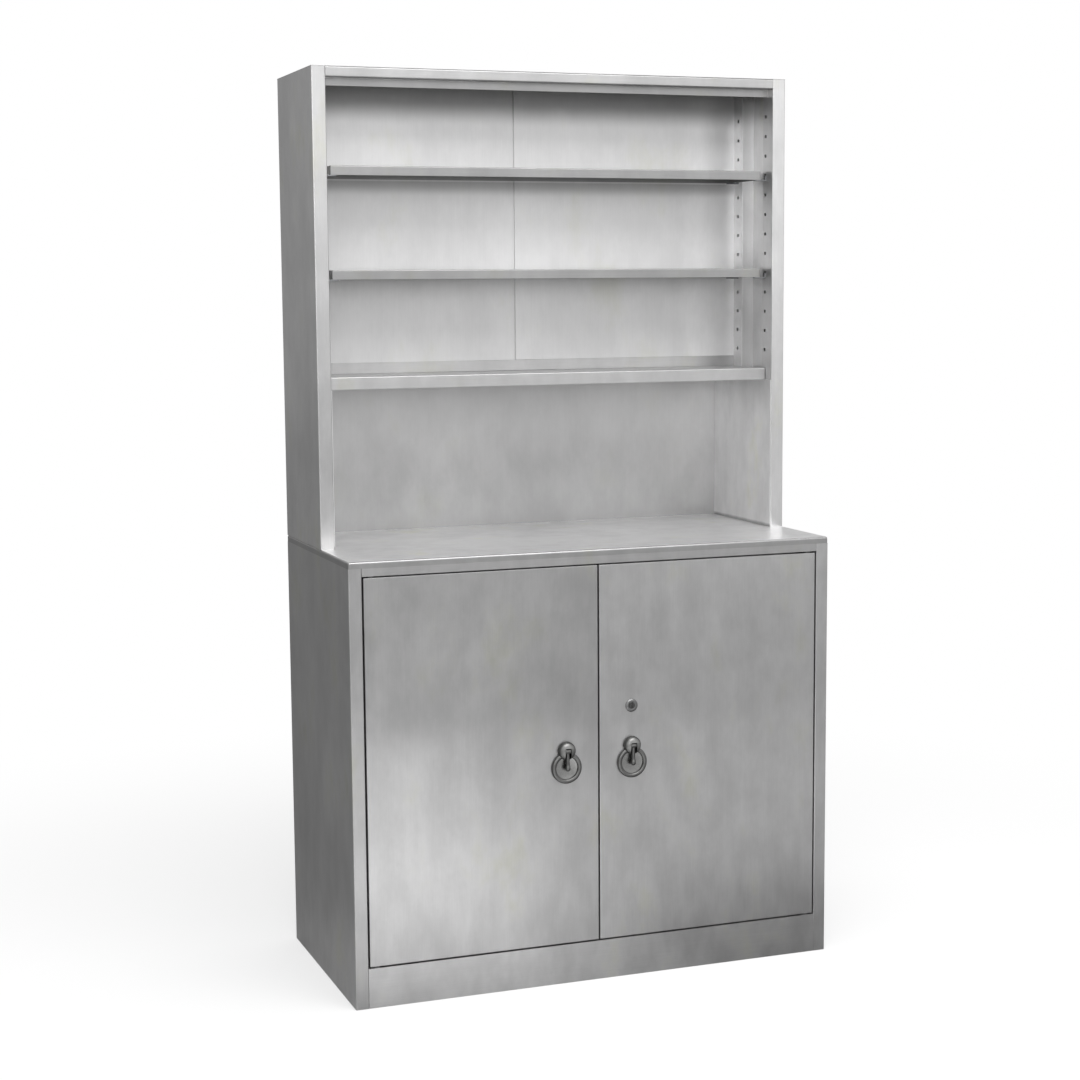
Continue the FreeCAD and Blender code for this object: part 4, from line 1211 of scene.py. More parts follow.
# Painted shade: the clips are a darker zinc for the shade at the shelf ends.
CLIP = ZincPlate(tone=0.26)
STEEL = PlainSteel()
NYLON = Moulded()
BUSH = Moulded(colour=(0.1, 0.1, 0.1), polish=0.5)
RUBBER = Moulded(slot="rubber", colour=(0.035, 0.035, 0.036), polish=0.55)
BOARD = ChipBoard()


# Pieces.


def new_object(name: str, data: Any) -> Any:
    """A new object, linked into the scene.

    Args:
        name: Its name.
        data: Its mesh, light or camera.

    Returns:
        The object.
    """
    made = bpy.data.objects.new(name, data)
    bpy.context.scene.collection.objects.link(made)
    return made


def mesh_of(name: str, surface: Surface) -> bpy.types.Mesh:
    """A mesh of a surface, in metres, smooth but for its hard edges.

    Args:
        name: The mesh's name.
        surface: Its points and faces.

    Returns:
        The mesh.
    """
    counts = np.concatenate([np.full(len(group), group.shape[1]) for group in surface.faces])
    corners = np.concatenate([group.ravel() for group in surface.faces])
    starts = np.cumsum(counts) - counts
    mesh = bpy.data.meshes.new(name)
    mesh.vertices.add(len(surface.points))
    mesh.vertices.foreach_set("co", (surface.points * MM).astype(np.float32).ravel())
    mesh.loops.add(len(corners))
    mesh.loops.foreach_set("vertex_index", corners.astype(np.int32))
    mesh.polygons.add(len(counts))
    mesh.polygons.foreach_set("loop_start", starts.astype(np.int32))
    mesh.update(calc_edges=True)
    mesh.validate()
    return smoothed(mesh)


def smoothed(mesh: bpy.types.Mesh) -> bpy.types.Mesh:
    """The mesh itself, shaded smooth but for its hard edges.

    Args:
        mesh: The mesh.

    Returns:
        The same mesh.
    """
    mesh.shade_smooth()
    mesh.set_sharp_from_angle(angle=HARD_EDGE)
    return mesh


class Shop:
    """Turns surfaces into pieces that ride on the frame, and dresses the frame's own nodes."""

    def __init__(self, frame: dict[str, Any]) -> None:
        """Keep the frame and start with no materials.
        """
        self.frame = frame
        self.materials: dict[Finish, bpy.types.Material] = {}

    def extent(self, node: str) -> tuple[Array, Array]:
        """Lowest and highest corner of a node in millimetres."""
        low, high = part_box(node)
        return np.array(low) / MM, np.array(high) / MM

    def material(self, finish: Finish) -> bpy.types.Material:
        """The material of a finish, made once.

        Args:
            finish: The finish.

        Returns:
            The material.
        """
        if finish not in self.materials:
            kind = type(finish).__name__
            self.materials[finish] = finish.material(f"{kind}_{len(self.materials):02d}")
        return self.materials[finish]

    def settle(self, name: str, mesh: bpy.types.Mesh, node: str, finish: Finish) -> Any:
        """Put a mesh in the scene in place of a node.

        Args:
            name: The piece's name.
            mesh: Its mesh.
            node: The node that it stands for, on whose body it rides.
            finish: Its finish.

        Returns:
            The new object.
        """
        piece = new_object(name, mesh)
        mesh.materials.clear()
        mesh.materials.append(self.material(finish))
        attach(piece, self.frame["nodes"][node]["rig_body"])
        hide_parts(node)
        LOG.info("%s: %d faces for %s", name, len(mesh.polygons), node)
        return piece

    def place(self, name: str, surface: Surface, node: str, finish: Finish,
              weighted: bool = True) -> None:
        """Make a piece of a surface.

        Args:
            name: The piece's name.
            surface: Its closed surface.
            node: The node that it stands for.
            finish: Its finish.
            weighted: Let broad faces set the shading beside a fold.
        """
        piece = self.settle(name, mesh_of(name, surface), node, finish)
        if weighted:
            self.weigh(piece)

    def weigh(self, piece: Any) -> None:
        """Let broad faces set the shading where they meet a fold or bevel."""
        normals = piece.modifiers.new("shading", "WEIGHTED_NORMAL")
        normals.keep_sharp = True

    def break_edges(self, piece: Any, width: float, segments: int = 2) -> None:
        """Round a piece's edges by a small bevel.

        Args:
            piece: The piece.
            width: Width of the bevel.
            segments: How many faces it has across.
        """
        rounding = piece.modifiers.new("broken_edge", "BEVEL")
        rounding.width = width * MM
        rounding.segments = segments
        rounding.limit_method = "ANGLE"
        rounding.angle_limit = BEVELLED_EDGE
        rounding.use_clamp_overlap = True
        self.weigh(piece)

    def eased(self, name: str, node: str, finish: Finish, bevel: float) -> None:
        """A copy of a node with its points merged and its edges broken by a small bevel.

        Args:
            name: The piece's name.
            node: The node.
            finish: Its finish.
            bevel: Width of the broken edge.
        """
        work = bmesh.new()
        work.from_mesh(self.frame["nodes"][node].data)
        bmesh.ops.remove_doubles(work, verts=work.verts, dist=MERGED)
        bmesh.ops.dissolve_limit(work, angle_limit=FLAT_EDGE, verts=work.verts, edges=work.edges)
        mesh = bpy.data.meshes.new(name)
        work.to_mesh(mesh)
        work.free()
        self.break_edges(self.settle(name, smoothed(mesh), node, finish), bevel)

    def carry(self, node: str, finish: Finish) -> None:
        """Keep a node of the frame and give it a finish.

        Args:
            node: The node.
            finish: Its finish.
        """
        data = self.frame["nodes"][node].data
        data.materials.clear()
        data.materials.append(self.material(finish))
        LOG.info("%s: kept", node)

    def cut(self, name: str, surface: Surface, tool: Surface) -> bpy.types.Mesh:
        """The mesh of a closed surface less another.

        Args:
            name: The mesh's name.
            surface: What is cut.
            tool: What is taken away.

        Returns:
            A mesh with the cut made.
        """
        base = new_object(name, mesh_of(name, surface))
        knife = new_object(name + "_tool", mesh_of(name + "_tool", tool))
        step = base.modifiers.new("cut", "BOOLEAN")
        step.operation = "DIFFERENCE"
        step.solver = "EXACT"
        step.object = knife
        view = bpy.context.evaluated_depsgraph_get()
        mesh = bpy.data.meshes.new_from_object(base.evaluated_get(view))
        for item in (base, knife):
            bpy.data.objects.remove(item)
        mesh.name = name
        return smoothed(mesh)


def slotted_post(outer: float, face: float, back: float, ends: tuple[float, float],
                 first: float, count: int) -> Surface:
    """The right rear post of a carcass: an angle with a column of slots in its inner leg.

    Args:
        outer: X of the edge at the side.
        face: X of the slotted leg.
        back: Y of that leg's rear edge.
        ends: Where the post starts and ends in height.
        first: Bottom of its lowest slot.
        count: How many slots it has.

    Returns:
        The closed sheet.
    """
    depth = 40.0
    line = ((outer, back - depth), (face, back - depth), (face, back))
    slots = SlotColumn((face, back - depth / 2), first, count)
    return FoldedSheet(line, ends, slots=slots).surface()


@dataclass(frozen=True)
class BaseCarcass:
    """The base's sheet metal: sides with their stiles and jambs, plinth, rails, floor and back.

    Attributes:
        half: Half of the width.
        front: Front face in Y.
        back: Rear face in Y.
        stile: Width of the stile.
        jamb: Depth that the sheet runs back beside the door.
        flange: Width of the rear flange.
        top: Height of the carcass.
        post: Where the rear posts start and end in height.
        angle: Width of the rear angle's legs.
        slots: Bottom of the lowest slot, and how many slots a column has.
        slot_place: From the front face back to the middle of the jamb's slots.
        sheet: Thickness.
    """

    half: float = 500.0
    front: float = -232.5
    back: float = 247.5
    stile: float = 26.0
    jamb: float = 62.0
    flange: float = 18.0
    top: float = 847.0
    post: tuple[float, float] = (79.2, 817.0)
    angle: float = 30.0
    slots: tuple[float, int] = (179.2, 16)
    slot_place: float = 50.0
    sheet: float = 1.2

    def side(self) -> Surface:
        """The right side, folded round its stile and back along the door.

        Returns:
            The closed sheet.
        """
        face = self.half - self.stile
        line = (
            (self.half - self.flange, self.back), (self.half, self.back),
            (self.half, self.front), (face, self.front), (face, self.front + self.jamb),
        )
        slots = SlotColumn((face, self.front + self.slot_place), *self.slots)
        return FoldedSheet(line, (0.0, self.top), slots=slots, sag=0.5).surface()

    def rear_post(self) -> Surface:
        """The right rear post, slotted towards the middle."""
        return slotted_post(self.half - self.sheet, self.half - self.stile,
                            self.back - 2 * self.sheet, self.post, *self.slots)

    def rear_rail(self) -> Surface:
        """The angle under the worktop's rear edge.

        Returns:
            The closed sheet.
        """
        back = self.back - 2 * self.sheet
        line = ((back - self.angle, self.top), (back, self.top), (back, self.top - self.angle))
        half = self.half - self.sheet
        return FoldedSheet(line, (-half, half), Axis.X).surface()

    def build(self, shop: Shop) -> None:
        """Make and dress the base's sheet metal.

        Args:
            shop: Where pieces are made.
        """
        for side in Side:
            shop.place(f"{side.word}_base_side_sheet", self.side().on(side),
                       f"base_{side.word}_side", BASE_UPRIGHT)
        posts = gathered(*[self.rear_post().on(side) for side in Side])
        shop.place("base_slotted_posts", posts, "base_rear_posts", BASE_UPRIGHT)
        shop.place("base_rear_angle", self.rear_rail(), "base_rear_rail", BASE_LEVEL)
        for name, node, finish, bevel in (
            ("plinth_sheet", "plinth", PLINTH_LEVEL, 0.5),
            ("head_rail_sheet", "base_head_rail", BASE_LEVEL, 0.5),
            ("base_floor_sheet", "base_floor", BASE_LEVEL, 0.4),
            ("base_back_sheet", "base_back_panel", BASE_UPRIGHT, 0.3),
        ):
            shop.eased(name, node, finish, bevel)


@dataclass(frozen=True)
class Worktop:
    """The worktop's sheet, rounded along its front and sides, over its board.

    Attributes:
        radius: Radius of the rounded edges.
        sheet: Thickness.
        sag: How far its middle sinks in.
    """

    radius: float = 4.0
    sheet: float = 1.2
    sag: float = 0.25

    def build(self, shop: Shop) -> None:
        """Make the sheet and dress the board.

        Args:
            shop: Where pieces are made.
        """
        low, high = shop.extent("worktop")
        pan = Pan(low, high, (Axis.Z, -1), self.sheet, self.radius, self.sag)
        shop.place("worktop_sheet", pan.surface(), "worktop", TOP_LEVEL)
        shop.carry("worktop_core", BOARD)


@dataclass(frozen=True)
class HutchCarcass:
    """The hutch's sheet metal: sides, posts, liners, backs, roof and the rail over the front.

    Attributes:
        half: Half of the width.
        front: Front face in Y.
        back: Rear face in Y.
        stile: Width of the stile.
        flange: Width of the rear flange.
        hem: Depth of the box folded behind the stile.
        bottom: Height of the worktop.
        top: Underside of the roof.
        deck: Top of the fixed shelf.
        upper_back: Front face of the forward back sheets.
        returned: Width of their upright edges, turned back.
        rail: Underside of the rail over the front.
        lip: How far the lip is set back from the front, and its height.
        tuck: How far the rail runs back under the roof.
        slots: From the fixed shelf up to the lowest slot, and how many slots a column has.
        slot_place: From the front face back to the middle of the box's slots.
        below: How far the rear posts run down past the top of the fixed shelf.
        gap: Between the box's rear wall and the side.
        sheet: Thickness.
    """

    half: float = 500.0
    front: float = -30.5
    back: float = 247.5
    stile: float = 28.0
    flange: float = 18.0
    hem: float = 45.0
    bottom: float = 860.0
    top: float = 1783.8
    deck: float = 1193.0
    upper_back: float = 151.5
    returned: float = 15.0
    rail: float = 1765.0
    lip: tuple[float, float] = (24.0, 15.0)
    tuck: float = 20.0
    slots: tuple[float, int] = (35.0, 13)
    slot_place: float = 32.0
    below: float = 24.0
    gap: float = 0.3
    sheet: float = 1.2

    def side(self) -> Surface:
        """The right side, folded round its stile into a box whose inner wall is slotted.

        Returns:
            The closed sheet.
        """
        face, hem = self.half - self.stile, self.front + self.hem
        line = (
            (self.half - self.flange, self.back), (self.half, self.back),
            (self.half, self.front), (face, self.front), (face, hem),
            (self.half - self.sheet - self.gap, hem),
        )
        rise, count = self.slots
        slots = SlotColumn((face, self.front + self.slot_place), self.deck + rise, count)
        return FoldedSheet(line, (self.bottom, self.top), slots=slots, sag=0.35).surface()

    def rear_post(self) -> Surface:
        """The right rear post beside the forward back.

        Returns:
            The closed sheet.
        """
        rise, count = self.slots
        return slotted_post(self.half - self.sheet, self.half - self.stile, self.upper_back,
                            (self.deck - self.below, self.top), self.deck + rise, count)

    def forward_back(self) -> Surface:
        """The right half of the forward back, its upright edges turned back.

        Returns:
            The closed sheet.
        """
        rear, half = self.upper_back + self.returned, self.half - self.sheet
        line = ((half, rear), (half, self.upper_back), (0.0, self.upper_back), (0.0, rear))
        return FoldedSheet(line, (self.deck, self.top), sag=0.7, step=22.0).surface()

    def roof_rail(self) -> Surface:
        """The rail over the front, with its soffit and the lip set back under it.

        Returns:
            The closed sheet.
        """
        front, half = self.front, self.half - self.stile
        lip, bottom = front + self.lip[0], self.rail - self.lip[1]
        line = (
            (lip, bottom), (lip, self.rail), (front, self.rail),
            (front, self.top), (front + self.tuck, self.top),
        )
        return FoldedSheet(line, (-half, half), Axis.X).surface()

    def build(self, shop: Shop) -> None:
        """Make and dress the hutch's sheet metal.

        Args:
            shop: Where pieces are made.
        """
        for side in Side:
            word = side.word
            shop.place(f"{word}_hutch_side_sheet", self.side().on(side),
                       f"hutch_{word}_side", HUTCH_UPRIGHT)
            shop.place(f"{word}_forward_back", self.forward_back().on(side),
                       f"upper_back_{word}", BACK_UPRIGHT)
            shop.eased(f"{word}_bay_wall", f"niche_{word}_liner", WALL_UPRIGHT, 0.3)
        posts = gathered(*[self.rear_post().on(side) for side in Side])
        shop.place("hutch_slotted_posts", posts, "hutch_rear_posts", POST_UPRIGHT)
        shop.place("top_rail_sheet", self.roof_rail(), "hutch_roof_rail", HUTCH_LEVEL)
        for name, node, finish, bevel in (
            ("roof_sheet", "hutch_roof", HUTCH_LEVEL, 0.3),
            ("hutch_back_sheet", "hutch_back_panel", BAY_UPRIGHT, 0.3),
            ("seam_batten", "upper_back_batten", BACK_UPRIGHT, 0.3),
            ("shelf_upstand", "fixed_shelf_upstand", DECK_LEVEL, 0.3),
            ("foot_angles", "hutch_feet", BASE_LEVEL, 0.3),
            ("hutch_bolts", "joint_bolts", ZINC, 0.4),
            ("hutch_nuts", "joint_nuts", ZINC, 0.4),
        ):
            shop.eased(name, node, finish, bevel)


@dataclass(frozen=True)
class Shelving:
    """The fixed shelf, the three loose ones and the clips that they lie on.

    Attributes:
        radius: Outer radius of a shelf's folds.
        sag: How far a shelf's middle sinks in.
    """

    radius: float = 1.9
    sag: float = 0.5

    def build(self, shop: Shop) -> None:
        """Make and dress the shelves and clips.

        Args:
            shop: Where pieces are made.
        """
        for node, sheet, finish in (
            ("fixed_shelf", 1.2, DECK_LEVEL), ("middle_shelf", 1.0, SHELF_LEVEL),
            ("upper_shelf", 1.0, SHELF_LEVEL), ("inner_shelf", 1.0, SHELF_LEVEL),
        ):
            low, high = shop.extent(node)
            pan = Pan(low, high, (Axis.Z, -1), sheet, self.radius, self.sag)
            shop.place(f"{node}_sheet", pan.surface(), node, finish)
        shop.eased("hooked_clips", "shelf_clips", CLIP, 0.5)


@dataclass(frozen=True)
class Door:
    """A door: pressed outer sheet, flat inner sheet, channel, pivots and catch plate.

    Attributes:
        side: The side that it closes.
        radius: Radius of the outer sheet's edges.
        sheet: Thickness of the outer sheet.
        sag: How far the outer sheet sinks in at its middle.
    """

    side: Side
    radius: float = 1.4
    sheet: float = 1.0
    sag: float = 0.6

    def build(self, shop: Shop) -> None:
        """Make and dress the door.

        Args:
            shop: Where pieces are made.
        """
        word = self.side.word
        low, high = shop.extent(f"{word}_door_skin")
        skin = Pan(low, high, (Axis.Y, 1), self.sheet, self.radius, self.sag, step=20.0)
        finish = LEFT_DOOR_FACE if self.side is Side.LEFT else RIGHT_DOOR_FACE
        shop.place(f"{word}_door_face", skin.surface(), f"{word}_door_skin", finish)
        for name, node, finish, bevel in (
            ("door_inner_sheet", "door_liner", BASE_UPRIGHT, 0.3),
            ("door_channel", "door_stiffener", BASE_UPRIGHT, 0.3),
            ("door_pivot_pins", "door_pivots", ZINC, 0.4),
            ("catch_plate", "door_strike", ZINC, 0.4),
        ):
            shop.eased(f"{word}_{name}", f"{word}_{node}", finish, bevel)


@dataclass(frozen=True)
class Pull:
    """A door's pull: a dished plate with a beaded rim, a boss over it and the drop that hangs.

    Attributes:
        side: The door's side.
        offset: From the middle of the cabinet.
        height: Height of the dish's centre.
        rise: From the dish's centre up to the boss's.
        face: The door's face in Y.
        dish: Outer radius of the dish.
        bead: Radius of its rim.
        boss: Radius of the boss.
        reach: How far the boss stands out.
        pivot: How far out the drop's pin lies.
        plate: Thickness of the dish at its centre, and how much it grows towards the rim.
        room: Half of the width of the drop's slot.
        pin: Radius and half of the length of the pin.
        crown: The boss's profile, as radii and how far each lies behind its reach.
        tongue: The drop's sections, as distance down from the pin, half width and half depth.
        segments: Points round the boss, the dish and the bead.
    """

    side: Side
    offset: float = 69.0
    height: float = 434.0
    rise: float = 34.0
    face: float = -232.5
    dish: float = 31.0
    bead: float = 4.4
    boss: float = 18.0
    reach: float = 15.0
    pivot: float = 9.0
    plate: tuple[float, float] = (0.8, 2.0)
    room: float = 6.3
    pin: tuple[float, float] = (1.5, 12.0)
    crown: ClassVar[Array] = np.array([
        (0.0, 0.1), (6.5, 0.5), (11.6, 1.9), (15.4, 4.6), (17.7, 8.6), (18.0, 15.0), (0.0, 15.0),
    ])
    tongue: ClassVar[Array] = np.array([
        (-2.0, 0.4, 0.4), (-1.0, 3.3, 3.0), (2.0, 4.1, 4.1), (10.0, 3.9, 3.7),
        (20.0, 3.5, 3.2), (27.0, 3.7, 3.5), (31.0, 4.8, 4.6), (34.5, 5.4, 5.3),
        (37.0, 4.8, 4.7), (38.8, 3.0, 3.0), (39.45, 0.5, 0.5),
    ])
    segments: ClassVar[int] = 72

    @property
    def top(self) -> float:
        """Height of the boss's centre and of the drop's pin."""
        return self.height + self.rise

    @property
    def axle(self) -> tuple[float, float, float]:
        """Middle of the drop's pin."""
        return self.offset, self.face - self.pivot, self.top

    def on_door(self, profile: Array, height: float, closed: bool = False) -> Surface:
        """A profile of radii and distances out from the door, carried round at a height.

        Args:
            profile: Rows of radius and distance.
            height: Height of the middle.
            closed: The profile is a loop.

        Returns:
            The closed surface.
        """
        return turned(profile * (1.0, -1.0), (self.offset, self.face, height), Axis.Y,
                      closed=closed, segments=self.segments)

    def dish_surface(self) -> Surface:
        """The dish: a plate whose face rises as the square of the radius towards the bead.

        Returns:
            The closed surface.
        """
        edge = self.dish - self.bead
        radii = np.linspace(0.0, edge, 16)
        middle, growth = self.plate
        bowl = np.stack([radii, middle + growth * (radii / edge) ** 2], -1)
        back = np.array([[edge, 0.0], [0.0, 0.0]])
        return self.on_door(np.concatenate([bowl, back]), self.height)

    def bead_surface(self) -> Surface:
        """The dish's rim: a bead of an oval section, cut flat where it lies on the door.

        At the turn a the section is at bead cos a across and bead (0.85 + sin a) 0.85 out.

        Returns:
            The closed surface.
        """
        turn = np.radians(np.linspace(238.0, -58.0, 24))
        middle, sunk, squeezed = self.dish - self.bead, 0.85, 0.85
        rise = self.bead * (sunk + np.sin(turn)) * squeezed
        loop = np.stack([middle + self.bead * np.cos(turn), rise], -1)
        return self.on_door(np.maximum(loop, 0.0), self.height, closed=True)

    def boss_surface(self) -> Surface:
        """The boss: a drum whose face is slightly crowned and falls away round its edge."""
        corners = np.array([0.0, self.reach]) + self.crown * (1.0, -1.0)
        return self.on_door(softened(corners, 1.6), self.top)

    def slot_surface(self) -> Surface:
        """The space for the drop: a rounded block out of the boss's face and lower edge.

        Returns:
            The block to take away.
        """
        past, floor, above, edge = 4.0, 2.5, 6.0, 2.2
        low = np.array([self.offset - self.room, self.face - self.reach - past,
                        self.top - self.boss - past])
        high = np.array([self.offset + self.room, self.face - floor, self.top + above])
        return rounded_block(low, high, edge)

    def drop_surface(self) -> Surface:
        """The drop: an eye round the pin and a tongue that narrows, then swells to its tip.

        The tongue's section at each height is an oval, its half width and half depth read
        from two smooth lines down its length.

        Returns:
            The closed surfaces of the tongue and the eye.
        """
        sections, around = 46, 32
        down = np.linspace(self.tongue[0, 0], self.tongue[-1, 0], sections)
        kernel = np.array([1.0, 2.0, 3.0, 2.0, 1.0]) / 9.0
        width, depth = (
            np.convolve(np.pad(np.interp(down, self.tongue[:, 0], sizes), 2, "edge"), kernel,
                        "valid")
            for sizes in self.tongue[:, 1:].T
        )
        turn = np.linspace(0.0, 2 * math.pi, around, endpoint=False)
        x, y, z = self.axle
        grid = np.stack([
            x + width[:, None] * np.cos(turn)[None],
            y + depth[:, None] * np.sin(turn)[None],
            np.broadcast_to((z - down)[:, None], (sections, around)),
        ], -1)
        ends = {place: np.array([x, y, z - down[place]]) for place in (0, -1)}
        tongue = capped(grid, ends).outward()
        bore, rim, half = self.pin[0] + 0.1, 4.9, 5.9
        loop = np.array([(bore, -half), (rim, -half), (rim, half), (bore, half)])
        eye = turned(softened(loop, 1.2, closed=True), self.axle, Axis.X, closed=True)
        return gathered(tongue, eye)

    def pin_surface(self) -> Surface:
        """The pin, with rounded ends.

        Returns:
            The closed surface.
        """
        radius, half = self.pin
        corners = np.array([(0.0, -half), (radius, -half), (radius, half), (0.0, half)])
        return turned(softened(corners, 0.5), self.axle, Axis.X, segments=24)

    def slotted(self, shop: Shop, part: str, surface: Surface, finish: Finish) -> Any:
        """Make a piece of the plate, less the space for the drop.

        Args:
            shop: Where pieces are made.
            part: The piece's word.
            surface: Its surface on the right door.
            finish: Its finish.

        Returns:
            The new object.
        """
        word = self.side.word
        name = f"{word}_pull_{part}"
        mesh = shop.cut(name, surface.on(self.side), self.slot_surface().on(self.side))
        return shop.settle(name, mesh, f"{word}_pull_plate", finish)

    def build(self, shop: Shop) -> None:
        """Make and dress the pull.

        Args:
            shop: Where pieces are made.
        """
        word = self.side.word
        boss = self.slotted(shop, "boss", self.boss_surface(), BOSS)
        shop.break_edges(boss, 0.6, segments=3)
        shop.place(f"{word}_pull_dish", self.dish_surface().on(self.side),
                   f"{word}_pull_plate", DISH, weighted=False)
        self.slotted(shop, "bead", self.bead_surface(), BEAD)
        shop.place(f"{word}_pull_hinge_pin", self.pin_surface().on(self.side),
                   f"{word}_pull_pin", STEEL, weighted=False)
        shop.place(f"{word}_pull_tongue", self.drop_surface().on(self.side),
                   f"{word}_pull_drop", DROP, weighted=False)


@dataclass(frozen=True)
class SlideBolts:
    """The left door's two slide bolts and their guides.

    Attributes:
        offset: From the middle of the cabinet, to the left.
        depth: The bolts' axis in Y.
        rod: Radius of a bolt.
        knob: Radius of its knob.
        reach: How far the knob stands out from the axis.
        grip: From the bolt's outer end to its knob.
        neck: Radius of the knob's neck, as a share of the knob's.
        shoulder: Where the neck ends and the knob is full, as shares of the reach.
    """

    offset: float = 30.0
    depth: float = -203.2
    rod: float = 3.5
    knob: float = 4.0
    reach: float = 12.0
    grip: float = 37.0
    neck: float = 0.62
    shoulder: tuple[float, float] = (0.5, 0.62)

    def bolt(self, low: float, high: float, knob_height: float) -> Surface:
        """A bolt between two heights, its ends rounded, with its knob towards the back.

        Args:
            low: Its lower end.
            high: Its upper end.
            knob_height: Height of the knob's middle.

        Returns:
            The closed surfaces of the bolt and the knob.
        """
        ends = np.array([(0.0, low), (self.rod, low), (self.rod, high), (0.0, high)])
        stem = turned(softened(ends, 1.4), (-self.offset, self.depth, 0.0), Axis.Z, segments=32)
        neck = self.knob * self.neck
        start, full = (self.reach * share for share in self.shoulder)
        corners = np.array([
            (0.0, 0.0), (neck, 0.0), (neck, start),
            (self.knob, full), (self.knob, self.reach), (0.0, self.reach),
        ])
        head = turned(softened(corners, 1.5), (-self.offset, self.depth, knob_height), Axis.Y,
                      segments=32)
        return gathered(stem, head)

    def build(self, shop: Shop) -> None:
        """Make and dress the bolts and guides.

        Args:
            shop: Where pieces are made.
        """
        for word, end in (("top", 1), ("bottom", -1)):
            node = f"left_door_{word}_bolt"
            low, high = (float(corner[2]) for corner in shop.extent(node))
            knob = high - self.grip if end > 0 else low + self.grip
            shop.place(f"{word}_slide_bolt", self.bolt(low, high, knob), node, ZINC,
                       weighted=False)
        shop.eased("slide_bolt_guides", "bolt_guides", ZINC, 0.7)


@dataclass(frozen=True)
class Lock:
    """The right door's cam lock.

    Attributes:
        place: X and Z of its axis.
        face: The door's face in Y.
        collar: Radius of the collar.
        proud: How far the collar stands out.
        barrel: Radius of the barrel.
        rear: The barrel's rear end in Y.
        bore: Radius of the bore.
    """

    place: tuple[float, float] = (69.0, 547.0)
    face: float = -232.5
    collar: float = 13.0
    proud: float = 3.0
    barrel: float = 9.0
    rear: float = -208.7
    bore: float = 6.05

    def housing(self) -> Surface:
        """Collar and barrel in one, as a loop turned about the lock's axis.

        The collar's face is chamfered towards the bore and falls off towards its rim.

        Returns:
            The closed surface.
        """
        rear = self.rear - self.face
        loop = np.array([
            (self.bore, -self.proud + 0.5), (self.bore + 1.6, -self.proud),
            (self.collar - 2.6, -self.proud + 0.1), (self.collar, -0.9), (self.collar, 0.0),
            (self.barrel, 0.0), (self.barrel, rear), (self.bore, rear),
        ])
        centre = (self.place[0], self.face, self.place[1])
        return turned(softened(loop, 0.7, closed=True), centre, Axis.Y, closed=True, segments=64)

    def build(self, shop: Shop) -> None:
        """Make and dress the lock.

        Args:
            shop: Where pieces are made.
        """
        shop.place("lock_collar_and_barrel", self.housing(), "lock_housing", COLLAR,
                   weighted=False)
        for name, node, finish, bevel in (
            ("lock_key_plug", "lock_plug", PLUG, 0.25),
            ("lock_clamp_nut", "lock_nut", ZINC, 0.5),
            ("lock_cam_plate", "lock_cam", ZINC, 0.5),
            ("lock_cam_screw", "lock_screw", ZINC, 0.7),
        ):
            shop.eased(name, node, finish, bevel)


@dataclass(frozen=True)
class Fittings:
    """Bushes for the door pivots, rubber bumpers and magnetic catches.

    Attributes:
        bumper: Radius of a bumper.
        offsets: From the middle of the cabinet to each side's two bumpers.
        dome: Share of a bumper's radius that its face has, and share of its depth below it.
    """

    bumper: float = 5.0
    offsets: tuple[float, float] = (42.5, 430.0)
    dome: tuple[float, float] = (0.72, 0.55)

    def bumpers(self, shop: Shop) -> Surface:
        """Four rubber buttons, domed towards the doors.

        Args:
            shop: Where pieces are made.

        Returns:
            The closed surfaces.
        """
        low, high = shop.extent("door_bumpers")
        deep = high[1] - low[1]
        face, wall = self.dome
        corners = np.array([(0.0, 0.0), (self.bumper, 0.0), (self.bumper, -deep * wall),
                            (self.bumper * face, -deep), (0.0, -deep)])
        profile = softened(corners, 1.4)
        middle = (low[2] + high[2]) / 2
        return gathered(*[
            turned(profile, (offset * side.value, high[1], middle), Axis.Y, segments=32)
            for side in Side for offset in self.offsets
        ])

    def build(self, shop: Shop) -> None:
        """Make and dress the fittings.

        Args:
            shop: Where pieces are made.
        """
        shop.place("rubber_bumpers", self.bumpers(shop), "door_bumpers", RUBBER, weighted=False)
        shop.eased("catch_housings", "door_catches", NYLON, 0.8)
        shop.eased("flanged_bushes", "pivot_bushes", BUSH, 0.35)


@dataclass(frozen=True)
class Lamp:
    """A soft rectangular lamp.

    Attributes:
        name: Its name.
        place: Where it hangs, in metres.
        aim: The point that it faces.
        size: Width and height.
        power: Watts.
    """

    name: str
    place: tuple[float, float, float]
    aim: tuple[float, float, float]
    size: tuple[float, float]
    power: float

    def hang(self) -> None:
        """Add the lamp to the scene."""
        light = bpy.data.lights.new(self.name, "AREA")
        light.shape = "RECTANGLE"
        light.size, light.size_y = self.size
        light.energy = self.power
        lamp = new_object(self.name, light)
        lamp.location = self.place
        way = Vector(self.aim) - Vector(self.place)
        lamp.rotation_euler = way.to_track_quat("-Z", "Y").to_euler()


